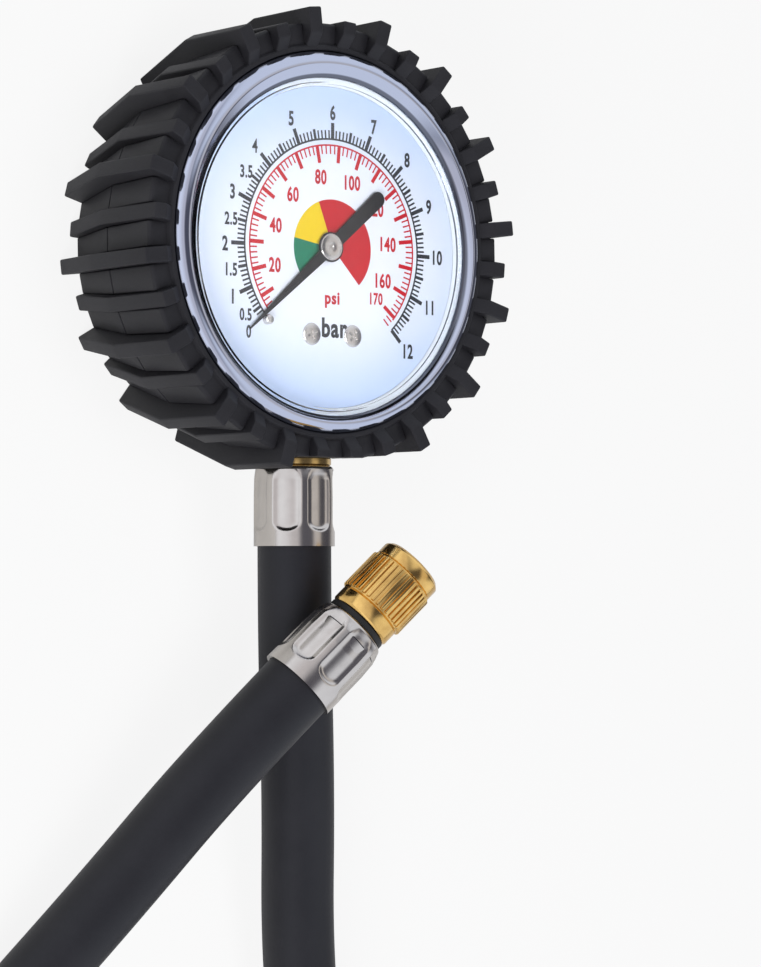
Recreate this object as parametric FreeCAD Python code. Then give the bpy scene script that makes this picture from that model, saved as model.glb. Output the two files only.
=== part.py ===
import FreeCAD, Part

import math
import os

from FreeCAD import Placement, Rotation, Vector

os.makedirs("parts", exist_ok=True)

# A dial gauge in a ribbed rubber boot, with a hose that ends in a screw-on connector.
# Millimetres and degrees. The gauge lies on the boot's flat back, which is z = 0.
# The pointer turns about the Z axis, and 6 o'clock, where the stem leaves, is -Y.

# Case, dial and lens
case_r = 31.5
case_wall = 0.9
rim_out = 1.1
dial_drop = 0.85
dial_side = 0.5
dial_edge = 2.5
dial_thick = 0.5
dial_proud = 0.2
dial_hole_r = 1.7
rim_gap = 1.1
gasket_thick = 0.9
gasket_w = 1.05
lens_flange = 0.75
lens_rise = 1.15
lens_thick = 1.3
lens_bevel = 0.95
lens_wall = 1.1
lens_play = 0.05

# Bezel ring
bezel_wall = 1.9
bezel_rise = 3.6
bezel_roll = 0.8
bezel_skirt = 3.4
bezel_crimp = 0.8
bezel_slope = 1.5
bezel_lip = 0.65

# Rubber boot
boot_floor = 3.5
boot_depth = 34.8
boot_over = 3.9
boot_wall = 5.1
rib_tall = 2.6
rib_short = 0.4
rib_w = 2.8
rib_pairs = 16
rib_first = 6.9
rib_crease_drop = 16.9
rib_taper = 5.4
rib_root_gap = 0.3
rib_end_w = 1.2
rib_end_drop = 1.6
ring_drop = 2.2
ring_chamfer = 0.5
ring_slim = 1.2
lip_drop = 2.5
stem_flat_half = 7.5
stem_flat_in = 0.85
ferrule_room_gap = 0.3

# Pointer, its stop and the dial's screws
pointer_reach = 24.0
pointer_tail = 15.7
pointer_root_w = 2.5
pointer_tip_w = 0.3
pointer_tail_w = 2.9
pointer_thick = 0.25
pointer_lift = 0.55
pointer_rest = 220.7
pointer_travel = 264.0
hub_r = 2.9
hub_cap_r = 2.5
hub_cap_thick = 0.2
stop_r = 19.5
stop_pin_r = 0.9
stop_pin_h = 1.1
stop_gap = 0.05
shaft_tip_r = 0.45
shaft_tip_len = 1.0
dial_screw_x = (-3.85, 5.5)
dial_screw_inset = 3.8
dial_screw_r = 1.0
dial_screw_len = 5.0
screw_head_r = 2.0
screw_head_h = 0.3
screw_slot_w = 0.5
screw_slot_deep = 0.15
screw_slot_reach = 0.6
screw_head_bevel = 0.35

# Socket block and stem
stem_drop = 9.4
block_half_w = 7.2
block_half_h = 6.5
block_near = 12.0
block_gap = 3.5
shank_r = 6.0
shank_out = 5.4
shank_gap = 0.1
shank_bore_r = 3.4
nipple_len = 6.0
air_r = 1.6
foot_half_w = 5.0
foot_inset = 3.0
heel_len = 2.0
tongue_near = 5.0
tongue_thick = 3.0
post_r = 1.6
post_root = 1.0
washer_thick = 0.8
washer_r = 6.3
collar_r = 6.7
collar_len = 1.6

# Bourdon tube
tube_gap = 10.0
tube_drop = 1.5
tube_thick = 2.4
tube_height = 8.0
tube_wall = 0.35
tube_root_deg = 262.0
tube_tip_deg = -10.0
tip_wall = 0.5
tip_len_deg = 7.0
tip_over_deg = 2.0
lug_deg = 4.2
lug_half_w = 1.2
cross_r = 0.7

# Linkage and gears
pinion_teeth = 12
sector_teeth = 108
link_share = 0.47
tail_share = 0.2325
tip_inset = 3.5
tip_mid_y = -2.7
pull_deg = 70.0
pin_r = 0.6
link_half_w = 1.45
tail_half_w = 1.3
sector_hub_r = 2.0
sector_collar_r = 1.2
sector_rim = 1.8
sector_arm_w = 1.4
sector_window_r = 4.4
sector_thick = 1.2
sector_drop = 2.5
link_thick = 0.8
link_gap = 0.2
pinion_face = 3.6
tooth_shift = 0.4
tooth_slack = 0.03
spare_deg = 6.0
shaft_r = 0.6
shaft_play = 0.05
pivot_out = 0.4
collar_play = 0.3
pin_out = 0.3
tip_pin_play = 0.25

# Movement frame
plate_thick = 1.2
plate_back_drop = 7.5
plate_front_rise = 2.5
strap_r = 2.2
pillar_r = 1.2
pillar_by_pointer = (-5.5, 3.5)
pillar_by_sector = (3.65, 9.48)
pillar_past_block = 2.4
pillar_below_sector = 4.32
pillar_screw_r = 0.6
pillar_screw_len = 3.0
pillar_head_r = 1.33
movement_screw_x = 4.0
movement_screw_y = -8.5
movement_screw_r = 1.0
movement_screw_len = 3.4
small_head_r = 1.9
small_head_h = 1.1
spring_in_r = 1.4
spring_out_r = 4.8
spring_turns = 4
spring_steps = 24
spring_ribbon = 0.14
spring_height = 0.6
spring_rise = 0.7
collet_over = 0.2
stud_r = 0.5
stud_over = 0.3

# Case screws and vent plug
case_screw_x = 3.0
case_screw_r = 1.5
case_screw_len = 6.5
case_head_r = 2.75
case_head_h = 1.4
pocket_gap = 0.2
vent_inset = 16.5
vent_r = 3.5
vent_flange_r = 5.0
vent_flange_h = 1.0

# Hose and ferrules
hose_r = 6.75
hose_bore_r = 3.3
barb_len = 11.0
barb_groove = 0.3
barb_steep = 0.3
barb_count = 4
nipple_gap = 0.3
ferrule_len = 14.6
ferrule_wall = 0.65
ferrule_neck = 0.8
ferrule_neck_gauge = 0.25
ferrule_flange = 2.4
ferrule_bevel = 0.6
crimp_count = 8
crimp_first = -7.0
crimp_deep = 0.4
crimp_r = 3.0
crimp_start = 3.2
crimp_inset = 2.0

# Screw-on connector, measured along its axis from the face of its ferrule
connector_x = 1.0
connector_past_stem = 29.15
crossing_gap = 2.6
connector_dir = Vector(0.664, 0.702, 0.258)
nut_start = 1.2
nut_len = 14.5
nut_collar_r = 6.15
nut_collar_len = 3.0
nut_knurl_r = 6.65
nut_knurl_len = 8.4
nut_knurls = 36
nut_knurl_deep = 0.35
nut_tip_r = 6.2
nut_tip_chamfer = 0.8
nut_thread_r = 3.6
nut_thread_len = 7.5
nut_mouth_chamfer = 0.4
groove_over = 0.1
nut_chamber_r = 3.9
nut_wall = 2.8
neck_r = 2.4
neck_play = 0.05
stem_collar_r = 5.8
stem_collar_len = 0.5
dust_washer_r = 6.25
dust_washer_thick = 0.6
stem_air_r = 1.0
ring_r = 3.45
ring_groove = 0.4
ring_thick = 0.7
face_gap = 0.15
seal_r = 3.3
seal_bore_r = 1.3
seal_thick = 2.0
nose_past_ring = 0.8
spider_r = 1.4
spider_thick = 0.6
spider_w = 0.5
spider_play = 0.02
depressor_r = 0.5

# Places in the case, from its radius
tube_r = case_r - tube_gap
block_far = case_r - block_gap
shank_end = case_r + shank_out
foot_near = block_near + foot_inset
foot_far = block_far - foot_inset
case_screw_y = -(foot_near + foot_far) / 2
dial_screw_y = -block_near - dial_screw_inset
vent_y = case_r - vent_inset
link_len = tube_r * link_share
tail_len = tube_r * tail_share

# Levels of the case, the stem and the movement, from the boot's depth
rim_z = boot_depth - boot_over
stem_z = rim_z - stem_drop
stem_face = shank_end + washer_thick + collar_len
tube_z = stem_z - tube_drop
sector_z = stem_z - sector_drop
plate_back_z = stem_z - plate_back_drop
plate_front_z = stem_z + plate_front_rise
spring_z = stem_z + spring_rise

# Hose route, chosen by hand: down from the stem to the ground, round a loop and up over itself
hose_near_gauge = [
    (0.0, -stem_face - ferrule_flange, stem_z),
    (0.0, -68.5, stem_z),
    (6.2, -99.5, 14.8),
    (10.6, -130.5, 8.6),
]
hose_on_ground = [
    (15.8, -160.0),
    (23.2, -188.5),
    (32.0, -218.0),
    (34.0, -250.0),
    (21.5, -279.5),
    (-3.5, -300.0),
    (-35.0, -308.5),
    (-67.5, -301.5),
    (-94.0, -281.5),
    (-109.0, -252.0),
    (-110.0, -219.0),
    (-96.5, -189.0),
    (-77.5, -164.0),
]
hose_rising = [
    (-58.5, -140.0, 9.2),
    (-39.5, -117.0, 18.2),
]
hose_last_run = 31.0
bend_share = 0.45

# Places worked out from the sizes above
case_axis = Vector(-dial_side, dial_drop, 0)
dial_r = case_r - dial_edge
rim_r = case_r + rim_out
bezel_r = rim_r + bezel_wall
window_r = dial_r + rim_gap + gasket_w - bezel_lip
lens_seat_r = dial_r + rim_gap + gasket_w
gasket_top = rim_z + gasket_thick
lens_lip_z = gasket_top + lens_flange
lens_top = lens_lip_z + lens_rise
lens_under = lens_top - lens_thick
dial_top = rim_z + dial_proud
dial_under = dial_top - dial_thick
pointer_z = dial_top + pointer_lift
pointer_top = pointer_z + pointer_thick
block_top = stem_z + block_half_h
block_under = stem_z - block_half_h
case_floor = boot_floor + case_wall
ferrule_r = hose_r + ferrule_wall
connector_axis = Vector(connector_dir).normalize()
connector_z = stem_z + 2 * hose_r + crossing_gap
connector_face = Vector(connector_x, -stem_face - connector_past_stem, connector_z)
rib_crease = boot_depth - rib_crease_drop


def at_angle(degrees, radius=1.0):
    """The point at this angle and distance from the Z axis, in the XY plane."""
    turn = math.radians(degrees)
    return Vector(radius * math.cos(turn), radius * math.sin(turn), 0)


def lathe(outline, centre=Vector(0, 0, 0)):
    """Turn a closed outline of (radius, height) points about the vertical axis through centre."""
    corners = [Vector(radius, 0, height) for radius, height in outline]
    face = Part.Face(Part.makePolygon(corners + corners[:1]))
    solid = face.revolve(Vector(0, 0, 0), Vector(0, 0, 1), 360)
    solid.translate(centre)
    return solid


def disc(radius, low, high, centre=Vector(0, 0, 0)):
    """A cylinder about the vertical axis through centre, from height low to high."""
    return Part.makeCylinder(radius, high - low, Vector(centre.x, centre.y, low))


def ring(outer, inner, low, high, centre=Vector(0, 0, 0)):
    """A plain ring about the vertical axis through centre."""
    return disc(outer, low, high, centre).cut(disc(inner, low, high, centre))


def box(x0, x1, y0, y1, z0, z1):
    """A box between two corners."""
    return Part.makeBox(x1 - x0, y1 - y0, z1 - z0, Vector(x0, y0, z0))


def strap(start, end, half_w, low, high):
    """A flat bar with round ends from start to end."""
    along = Vector(end.x - start.x, end.y - start.y, 0)
    side = Vector(-along.y, along.x, 0).normalize() * half_w
    corners = [start + side, start - side, end - side, end + side]
    corners = [Vector(corner.x, corner.y, low) for corner in corners]
    bar = Part.Face(Part.makePolygon(corners + corners[:1])).extrude(Vector(0, 0, high - low))
    ends = [disc(half_w, low, high, start), disc(half_w, low, high, end)]
    return bar.fuse(ends).removeSplitter()


def laid(shape, place, direction):
    """Turn a shape built up the Z axis so that it runs along direction from place."""
    shape.Placement = Placement(place, Rotation(Vector(0, 0, 1), direction)).multiply(shape.Placement)
    return shape


def on_stem(shape):
    """Lay a shape along the stem, with its heights counted from the pointer's axis towards -Y."""
    return laid(shape, Vector(0, 0, stem_z), Vector(0, -1, 0))


def on_connector(shape):
    """Lay a shape along the connector, with its heights counted from its ferrule's face."""
    return laid(shape, connector_face, connector_axis)


def rubber_boot():
    """The boot: a flat-backed cup whose wall carries tall and short ribs in turn."""
    ring_r = bezel_r + boot_wall
    crease_r = ring_r - ring_slim
    ring_top = boot_depth - ring_drop
    lip_z = boot_depth - lip_drop
    boot = lathe([
        (0, 0),
        (crease_r - rib_taper, 0),
        (crease_r, rib_crease),
        (ring_r, ring_top - ring_chamfer),
        (ring_r - ring_chamfer, ring_top),
        (bezel_r, lip_z),
        (0, lip_z),
    ], case_axis)
    ribs = []
    step = 360.0 / rib_pairs
    for index in range(rib_pairs):
        tall = rib(ring_r + rib_tall, ring_r)
        short = rib(ring_r + rib_short, ring_r)
        tall.rotate(case_axis, Vector(0, 0, 1), rib_first + index * step)
        short.rotate(case_axis, Vector(0, 0, 1), rib_first + (index + 0.5) * step)
        ribs += [tall, short]
    boot = boot.fuse(ribs)
    skirt_z = rim_z - bezel_skirt
    boot = boot.cut(disc(case_r, boot_floor, boot_depth, case_axis))
    boot = boot.cut(disc(bezel_r, skirt_z, boot_depth, case_axis))
    room_start = stem_face - ferrule_room_gap
    stem_hole = Part.makeCylinder(collar_r + pocket_gap, boot_depth, Vector(0, 0, case_r / 2))
    ferrule_room = Part.makeCylinder(ferrule_r + ferrule_room_gap, boot_depth, Vector(0, 0, room_start))
    boot = boot.cut([on_stem(stem_hole), on_stem(ferrule_room)])
    flat_y = dial_drop - ring_r + stem_flat_in
    boot = boot.cut(box(-stem_flat_half, stem_flat_half, -stem_face * 2, flat_y, 0, boot_depth))
    for side in (-1, 1):
        head_at = Vector(side * case_screw_x, case_screw_y, 0)
        low = boot_floor - case_head_h - pocket_gap
        boot = boot.cut(disc(case_head_r + pocket_gap, low, boot_floor, head_at))
    return boot.removeSplitter()


def rib(outer, ring_r):
    """One rib, on the +X side: flat in front, with a tapered back half."""
    inner = case_r + rib_root_gap
    end_z = boot_depth - rib_end_drop
    corners = [
        Vector(inner, 0, 0),
        Vector(outer - rib_taper, 0, 0),
        Vector(outer, 0, rib_crease),
        Vector(outer, 0, boot_depth),
        Vector(bezel_r + rib_end_w, 0, boot_depth),
        Vector(bezel_r, 0, end_z),
        Vector(inner, 0, end_z),
    ]
    body = Part.Face(Part.makePolygon(corners + corners[:1])).extrude(Vector(0, rib_w, 0))
    body.translate(case_axis - Vector(0, rib_w / 2, 0))
    return body


def gauge_case():
    """The steel cup, whose rim stands out under the bezel and in under the gasket."""
    case = disc(case_r, boot_floor, rim_z, case_axis)
    case = case.fuse(disc(rim_r, rim_z - case_wall, rim_z, case_axis))
    case = case.cut(disc(case_r - case_wall, case_floor, rim_z - case_wall, case_axis))
    case = case.cut(disc(dial_r + rim_gap, rim_z - case_wall, rim_z))
    hole = Part.makeCylinder(shank_r + shank_gap, case_r, Vector(0, 0, block_far))
    holes = [on_stem(hole), disc(vent_r, boot_floor, case_floor, Vector(0, vent_y, 0))]
    for side in (-1, 1):
        at = Vector(side * case_screw_x, case_screw_y, 0)
        holes.append(disc(case_screw_r, boot_floor, case_floor, at))
    return case.cut(holes).removeSplitter()


def bezel_ring():
    """The bezel: a skirt crimped under the case's rim and a front that slopes in to the window."""
    top = rim_z + bezel_rise
    skirt = rim_z - bezel_skirt
    corner = []
    for degrees in range(0, 91, 30):
        bend = at_angle(degrees, bezel_roll)
        corner.append((bezel_r - bezel_roll + bend.x, top - bezel_roll + bend.y))
    bezel = lathe([(0, skirt), (bezel_r, skirt)] + corner + [(0, top)], case_axis)
    bezel = bezel.cut(disc(case_r, skirt, skirt + bezel_crimp, case_axis))
    bezel = bezel.cut(disc(rim_r, skirt + bezel_crimp, rim_z, case_axis))
    bezel = bezel.cut(disc(lens_seat_r, rim_z, lens_lip_z))
    bezel = bezel.cut(disc(window_r, lens_lip_z, top))
    window = Part.Wire(Part.makeCircle(window_r, Vector(0, 0, top - bezel_slope)))
    crest = Part.Wire(Part.makeCircle(bezel_r - bezel_roll, case_axis + Vector(0, 0, top)))
    bezel = bezel.cut(Part.makeLoft([window, crest], True, True))
    return bezel.removeSplitter()


def lens():
    """The stepped lens: a flange under the bezel's lip and a raised front with a bevel."""
    edge_r = window_r - lens_play
    return lathe([
        (0, lens_under),
        (edge_r - lens_wall, lens_under),
        (edge_r - lens_wall, gasket_top),
        (lens_seat_r, gasket_top),
        (lens_seat_r, lens_lip_z),
        (edge_r, lens_lip_z),
        (edge_r, lens_top - lens_bevel),
        (edge_r - lens_bevel, lens_top),
        (0, lens_top),
    ])


def lens_gasket():
    """The ring between the case's rim and the lens."""
    return ring(lens_seat_r, lens_seat_r - gasket_w, rim_z, gasket_top)


def dial_screw_places():
    """Where the dial's two screws stand."""
    return [Vector(x, dial_screw_y, 0) for x in dial_screw_x]


def stop_place():
    """Where the stop pin stands: just behind the resting pointer."""
    share = stop_r / pointer_reach
    half_w = (pointer_root_w + (pointer_tip_w - pointer_root_w) * share) / 2
    back = math.degrees(math.asin((stop_pin_r + half_w + stop_gap) / stop_r))
    return at_angle(pointer_rest + back, stop_r)


def dial_plate():
    """The dial, with holes for the pointer's shaft, its screws and the stop pin."""
    dial = disc(dial_r, dial_under, dial_top)
    holes = [disc(dial_hole_r, dial_under, dial_top)]
    holes += [disc(dial_screw_r, dial_under, dial_top, at) for at in dial_screw_places()]
    holes.append(disc(stop_pin_r, dial_under, dial_top, stop_place()))
    return dial.cut(holes)


def slotted_screw(shank, head, seat, at):
    """A cross-slotted pan-head screw, head up, from shank and head as (radius, length)."""
    shank_r, shank_len = shank
    head_r, head_h = head
    top = seat + head_h
    chamfer = head_h * screw_head_bevel
    screw = lathe([
        (0, seat - shank_len),
        (shank_r, seat - shank_len),
        (shank_r, seat),
        (head_r, seat),
        (head_r, top - chamfer),
        (head_r - chamfer, top),
        (0, top),
    ], at)
    reach = head_r * screw_slot_reach
    half = screw_slot_w / 2
    low = top - screw_slot_deep
    across = box(at.x - reach, at.x + reach, at.y - half, at.y + half, low, top)
    up = box(at.x - half, at.x + half, at.y - reach, at.y + reach, low, top)
    return screw.cut([across, up])


def dial_screws():
    """The two screws through the dial into the block's posts."""
    screws = []
    shank = (dial_screw_r, dial_screw_len)
    head = (screw_head_r, screw_head_h)
    for at in dial_screw_places():
        screws.append(slotted_screw(shank, head, dial_top, at))
    return Part.makeCompound(screws)


def stop_pin():
    """The pin that the pointer rests against."""
    return disc(stop_pin_r, dial_under, dial_top + stop_pin_h, stop_place())


def pointer():
    """The pointer, a tapered needle with a hub and a round club tail, resting at zero."""
    root = pointer_root_w / 2
    tip = pointer_tip_w / 2
    tail = pointer_tail_w / 2
    tail_x = -(pointer_tail - tail)
    corners = [
        Vector(0, root, 0),
        Vector(pointer_reach - tip, tip, 0),
        Vector(pointer_reach, 0, 0),
        Vector(pointer_reach - tip, -tip, 0),
        Vector(0, -root, 0),
        Vector(tail_x, -tail, 0),
        Vector(tail_x, tail, 0),
    ]
    blade = Part.Face(Part.makePolygon(corners + corners[:1])).extrude(Vector(0, 0, pointer_thick))
    rounds = [disc(hub_r, 0, pointer_thick), disc(tail, 0, pointer_thick, Vector(tail_x, 0, 0))]
    hand = blade.fuse(rounds).removeSplitter()
    hand = hand.cut(disc(shaft_tip_r, 0, pointer_thick))
    hand.rotate(Vector(0, 0, 0), Vector(0, 0, 1), pointer_rest)
    hand.translate(Vector(0, 0, pointer_z))
    return hand


def pointer_hub_cap():
    """The bright cap over the pointer's hub."""
    return disc(hub_cap_r, pointer_top, pointer_top + hub_cap_thick)


def bourdon_section(thick, height):
    """The tube's section, a flat oval in the XZ plane at the tube's radius."""
    end = thick / 2
    straight = height / 2 - end
    low = Vector(tube_r, 0, tube_z - straight)
    high = Vector(tube_r, 0, tube_z + straight)
    out = Vector(end, 0, 0)
    edges = [
        Part.LineSegment(low + out, high + out).toShape(),
        Part.Arc(high + out, high + Vector(0, 0, end), high - out).toShape(),
        Part.LineSegment(high - out, low - out).toShape(),
        Part.Arc(low - out, low - Vector(0, 0, end), low + out).toShape(),
    ]
    return Part.Face(Part.Wire(edges))


def tube_body(thick, height, start, end):
    """The tube's solid between two angles about the pointer's axis."""
    solid = bourdon_section(thick, height).revolve(Vector(0, 0, 0), Vector(0, 0, 1), end - start)
    solid.rotate(Vector(0, 0, 0), Vector(0, 0, 1), start)
    return solid


def bourdon_tube():
    """The C-shaped tube, open at its root and shut at its tip by the cap."""
    outside = tube_body(tube_thick, tube_height, tube_tip_deg, tube_root_deg)
    hollow = (tube_thick - 2 * tube_wall, tube_height - 2 * tube_wall)
    return outside.cut(tube_body(*hollow, tube_tip_deg, tube_root_deg))


def socket_block():
    """The brass block: stem shank, air passage, foot, tongue for the movement and dial posts."""
    block = box(-block_half_w, block_half_w, -block_far, -block_near, block_under, block_top)
    foot = box(-foot_half_w, foot_half_w, -foot_far, -foot_near, case_floor, block_under)
    tongue_low = plate_back_z - tongue_thick
    tongue = box(-block_half_w, block_half_w, -foot_near, -tongue_near, tongue_low, plate_back_z)
    heel_far = -foot_near - heel_len
    heel = box(-foot_half_w, foot_half_w, heel_far, -foot_near, tongue_low, block_under)
    shank = on_stem(Part.makeCylinder(shank_r, shank_end - block_far, Vector(0, 0, block_far)))
    parts = [foot, tongue, heel, shank]
    parts += [disc(post_r, block_top - post_root, dial_under, at) for at in dial_screw_places()]
    block = block.fuse(parts)
    depth = shank_end - nipple_len
    air = on_stem(Part.makeCylinder(air_r, depth, Vector(0, 0, tube_r - cross_r)))
    bore = on_stem(Part.makeCylinder(shank_bore_r, nipple_len, Vector(0, 0, depth)))
    tube_end = at_angle(tube_root_deg, tube_r) + Vector(0, 0, tube_z)
    cross = Part.makeCylinder(cross_r, -tube_end.x, tube_end, Vector(1, 0, 0))
    cuts = [air, bore, cross, tube_body(tube_thick, tube_height, tube_tip_deg, tube_root_deg)]
    for at in dial_screw_places():
        cuts.append(disc(dial_screw_r, dial_top - dial_screw_len, dial_under, at))
    for side in (-1, 1):
        at = Vector(side * case_screw_x, case_screw_y, 0)
        cuts.append(disc(case_screw_r, case_floor, boot_floor + case_screw_len, at))
        at = Vector(side * movement_screw_x, movement_screw_y, 0)
        low = plate_back_z + plate_thick - movement_screw_len
        cuts.append(disc(movement_screw_r, low, plate_back_z, at))
    return block.cut(cuts).removeSplitter()


# The linkage at the middle of its stroke: link and sector tail are square to each other there
swing = pointer_travel * pinion_teeth / sector_teeth
tip_mid = Vector(tube_r - tip_inset, tip_mid_y, 0)
pull = at_angle(pull_deg)
square = at_angle(pull_deg - 90)
sector_at = tip_mid - pull * link_len - square * tail_len
module = 2 * sector_at.Length / (pinion_teeth + sector_teeth)
tail_rest = sector_at + at_angle(pull_deg - 90 - swing / 2, tail_len)
stroke = 2 * tail_len * math.sin(math.radians(swing / 2))
tip_rest = tip_mid - pull * (stroke / 2)
sagitta = tail_len * (1 - math.cos(math.radians(swing / 2)))
link_hole = tail_rest + pull * link_len + square * (sagitta / 2)
mesh_deg = math.degrees(math.atan2(-sector_at.y, -sector_at.x))
tube_sweep = math.radians(tube_root_deg - tube_tip_deg)
tip_lever = tube_r * math.hypot(
    math.sin(tube_sweep) - tube_sweep * math.cos(tube_sweep),
    math.cos(tube_sweep) + tube_sweep * math.sin(tube_sweep) - 1,
) / tube_sweep
tip_centre = tip_mid - square * tip_lever
tip_turn = math.degrees(stroke / tip_lever)


def tooth_profile(teeth, shift, addendum):
    """Half a tooth's flank as (radius, angle from the tooth's middle) from root to tip."""
    pitch_r = module * teeth / 2
    pressure = math.radians(20)
    base_r = pitch_r * math.cos(pressure)
    root_r = pitch_r + module * (shift - 1.25)
    tip_r = pitch_r + module * (shift + addendum)
    thick = module * (math.pi / 2 + 2 * shift * math.tan(pressure)) - tooth_slack
    half = thick / (2 * pitch_r) + math.tan(pressure) - pressure
    low = max(base_r, root_r)
    flank = [(root_r, half - roll_angle(base_r, low))]
    for step in range(5):
        radius = low + (tip_r - low) * step / 4
        flank.append((radius, half - roll_angle(base_r, radius)))
    return flank


def roll_angle(base_r, radius):
    """The involute's angle at a radius."""
    lean = math.acos(min(1.0, base_r / radius))
    return math.tan(lean) - lean


def tooth_points(flank, middle):
    """One tooth's outline, clockwise side first, about an angle in radians."""
    rising = [at_angle(math.degrees(middle - angle), radius) for radius, angle in flank]
    falling = [at_angle(math.degrees(middle + angle), radius) for radius, angle in reversed(flank)]
    points = rising + falling
    return [p for i, p in enumerate(points) if i == 0 or (p - points[i - 1]).Length > 1e-4]


def sector_gear():
    """The toothed sector with its hub and tail, at rest."""
    flank = tooth_profile(sector_teeth, -tooth_shift, 1.0)
    pitch = 2 * math.pi / sector_teeth
    lead = math.radians(mesh_deg) + pitch / 2
    count_up = int(math.radians(spare_deg) / pitch) + 1
    count_down = int(math.radians(swing + spare_deg) / pitch) + 1
    outline = []
    for index in range(-count_down, count_up):
        outline += tooth_points(flank, lead + index * pitch)
    first = math.degrees(lead - (count_down + 0.5) * pitch)
    last = math.degrees(lead + (count_up - 0.5) * pitch)
    root_r = flank[0][0]
    fan = [at_angle(last, root_r), Vector(0, 0, 0), at_angle(first, root_r)]
    corners = fan + outline
    body = Part.Face(Part.makePolygon(corners + corners[:1])).extrude(Vector(0, 0, sector_thick))
    top_r = root_r - sector_rim
    top_in = math.degrees(sector_arm_w / top_r)
    low_in = math.degrees(sector_arm_w / sector_window_r)
    window = [
        at_angle(first + low_in, sector_window_r),
        at_angle(first + top_in, top_r),
        at_angle((first + last) / 2, top_r),
        at_angle(last - top_in, top_r),
        at_angle(last - low_in, sector_window_r),
    ]
    opening = Part.Face(Part.makePolygon(window + window[:1]))
    body = body.cut(opening.extrude(Vector(0, 0, sector_thick)))
    body.translate(sector_at + Vector(0, 0, sector_z))
    top = sector_z + sector_thick
    hub = disc(sector_hub_r, sector_z, top, sector_at)
    body = body.fuse([hub, strap(sector_at, tail_rest, tail_half_w, sector_z, top)])
    body = body.cut([disc(shaft_r, sector_z, top, sector_at), disc(pin_r, sector_z, top, tail_rest)])
    return body.removeSplitter()


def sector_arbor():
    """The sector's shaft, in bearings in both plates."""
    low = plate_back_z - pivot_out
    high = plate_front_z + plate_thick + pivot_out
    shaft = disc(shaft_r, low, high, sector_at)
    collar_start = plate_back_z + plate_thick + collar_play
    collar_low = disc(sector_collar_r, collar_start, sector_z, sector_at)
    top = sector_z + sector_thick
    collar_high = disc(sector_collar_r, top, plate_front_z - collar_play, sector_at)
    return shaft.fuse([collar_low, collar_high]).removeSplitter()


def pinion_arbor():
    """The pointer's shaft with its pinion, whose teeth mesh with the sector at rest."""
    flank = tooth_profile(pinion_teeth, tooth_shift, 0.9)
    pitch = 2 * math.pi / pinion_teeth
    lead = math.radians(mesh_deg + 180)
    outline = []
    for index in range(pinion_teeth):
        outline += tooth_points(flank, lead + index * pitch)
    low = sector_z + (sector_thick - pinion_face) / 2
    wheel = Part.Face(Part.makePolygon(outline + outline[:1])).extrude(Vector(0, 0, pinion_face))
    wheel.translate(Vector(0, 0, low))
    shaft = disc(shaft_r, plate_back_z - pivot_out, pointer_z)
    seat = disc(shaft_tip_r, pointer_z - shaft_tip_len, pointer_top)
    return shaft.fuse([wheel, seat]).removeSplitter()


def tube_tip():
    """The cap on the tube's free end, with a lug for the link's pin."""
    out = tube_thick / 2 + tip_wall
    up = tube_height / 2 + tip_wall
    corners = [
        Vector(tube_r - out, 0, tube_z - up),
        Vector(tube_r + out, 0, tube_z - up),
        Vector(tube_r + out, 0, tube_z + up),
        Vector(tube_r - out, 0, tube_z + up),
    ]
    section = Part.Face(Part.makePolygon(corners + corners[:1]))
    cap = section.revolve(Vector(0, 0, 0), Vector(0, 0, 1), tip_len_deg)
    cap.rotate(Vector(0, 0, 0), Vector(0, 0, 1), tube_tip_deg + tip_over_deg - tip_len_deg)
    cap = cap.cut(tube_body(tube_thick, tube_height, tube_tip_deg, tube_tip_deg + tip_len_deg))
    lug_end = at_angle(tube_tip_deg + tip_over_deg - lug_deg, tube_r - (tube_thick + tip_wall) / 2)
    lug_top = sector_z + sector_thick
    lug = strap(tip_rest, lug_end, lug_half_w, sector_z, lug_top)
    lug = lug.cut(tube_body(tube_thick, tube_height, tube_tip_deg, tube_tip_deg + tip_len_deg))
    cap = cap.fuse(lug).cut(disc(pin_r, sector_z, lug_top, tip_rest))
    return cap.removeSplitter()


def link():
    """The link between the tube's tip and the sector's tail. Its upper hole has play."""
    low = sector_z + sector_thick + link_gap
    high = low + link_thick
    bar = strap(tail_rest, link_hole, link_half_w, low, high)
    tail_hole = disc(pin_r + shaft_play, low, high, tail_rest)
    tip_hole = disc(pin_r + tip_pin_play, low, high, link_hole)
    return bar.cut([tail_hole, tip_hole])


def link_pin(at):
    """A pin that a link turns on."""
    top = sector_z + sector_thick + link_gap + link_thick + pin_out
    return disc(pin_r, sector_z, top, at)


def plate(low, spans, holes):
    """A movement plate: straps between places, with holes of (radius, place)."""
    high = low + plate_thick
    bars = [strap(start, end, strap_r, low, high) for start, end in spans]
    body = bars[0].fuse(bars[1:])
    return body.cut([disc(radius, low, high, at) for radius, at in holes]).removeSplitter()


centre = Vector(0, 0, 0)
pillars = [
    Vector(*pillar_by_pointer, 0),
    sector_at + Vector(*pillar_by_sector, 0),
    Vector(block_half_w + pillar_past_block, sector_at.y - pillar_below_sector, 0),
]
movement_feet = [Vector(side * movement_screw_x, movement_screw_y, 0) for side in (-1, 1)]


def bearing_holes():
    """Holes that both plates have: two bearings and three screw holes."""
    holes = [(shaft_r + shaft_play, centre), (shaft_r + shaft_play, sector_at)]
    return holes + [(pillar_screw_r, at) for at in pillars]


def movement_plate_back():
    """The plate that is screwed to the block's tongue."""
    left, right = movement_feet
    spans = [(left, right), (left, centre), (right, centre), (right, sector_at)]
    spans += [(centre, pillars[0]), (centre, pillars[1])]
    spans += [(sector_at, pillars[1]), (sector_at, pillars[2])]
    holes = [hole for hole in bearing_holes() if hole[0] != pillar_screw_r]
    holes += [(movement_screw_r, at) for at in movement_feet]
    return plate(plate_back_z, spans, holes)


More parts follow.
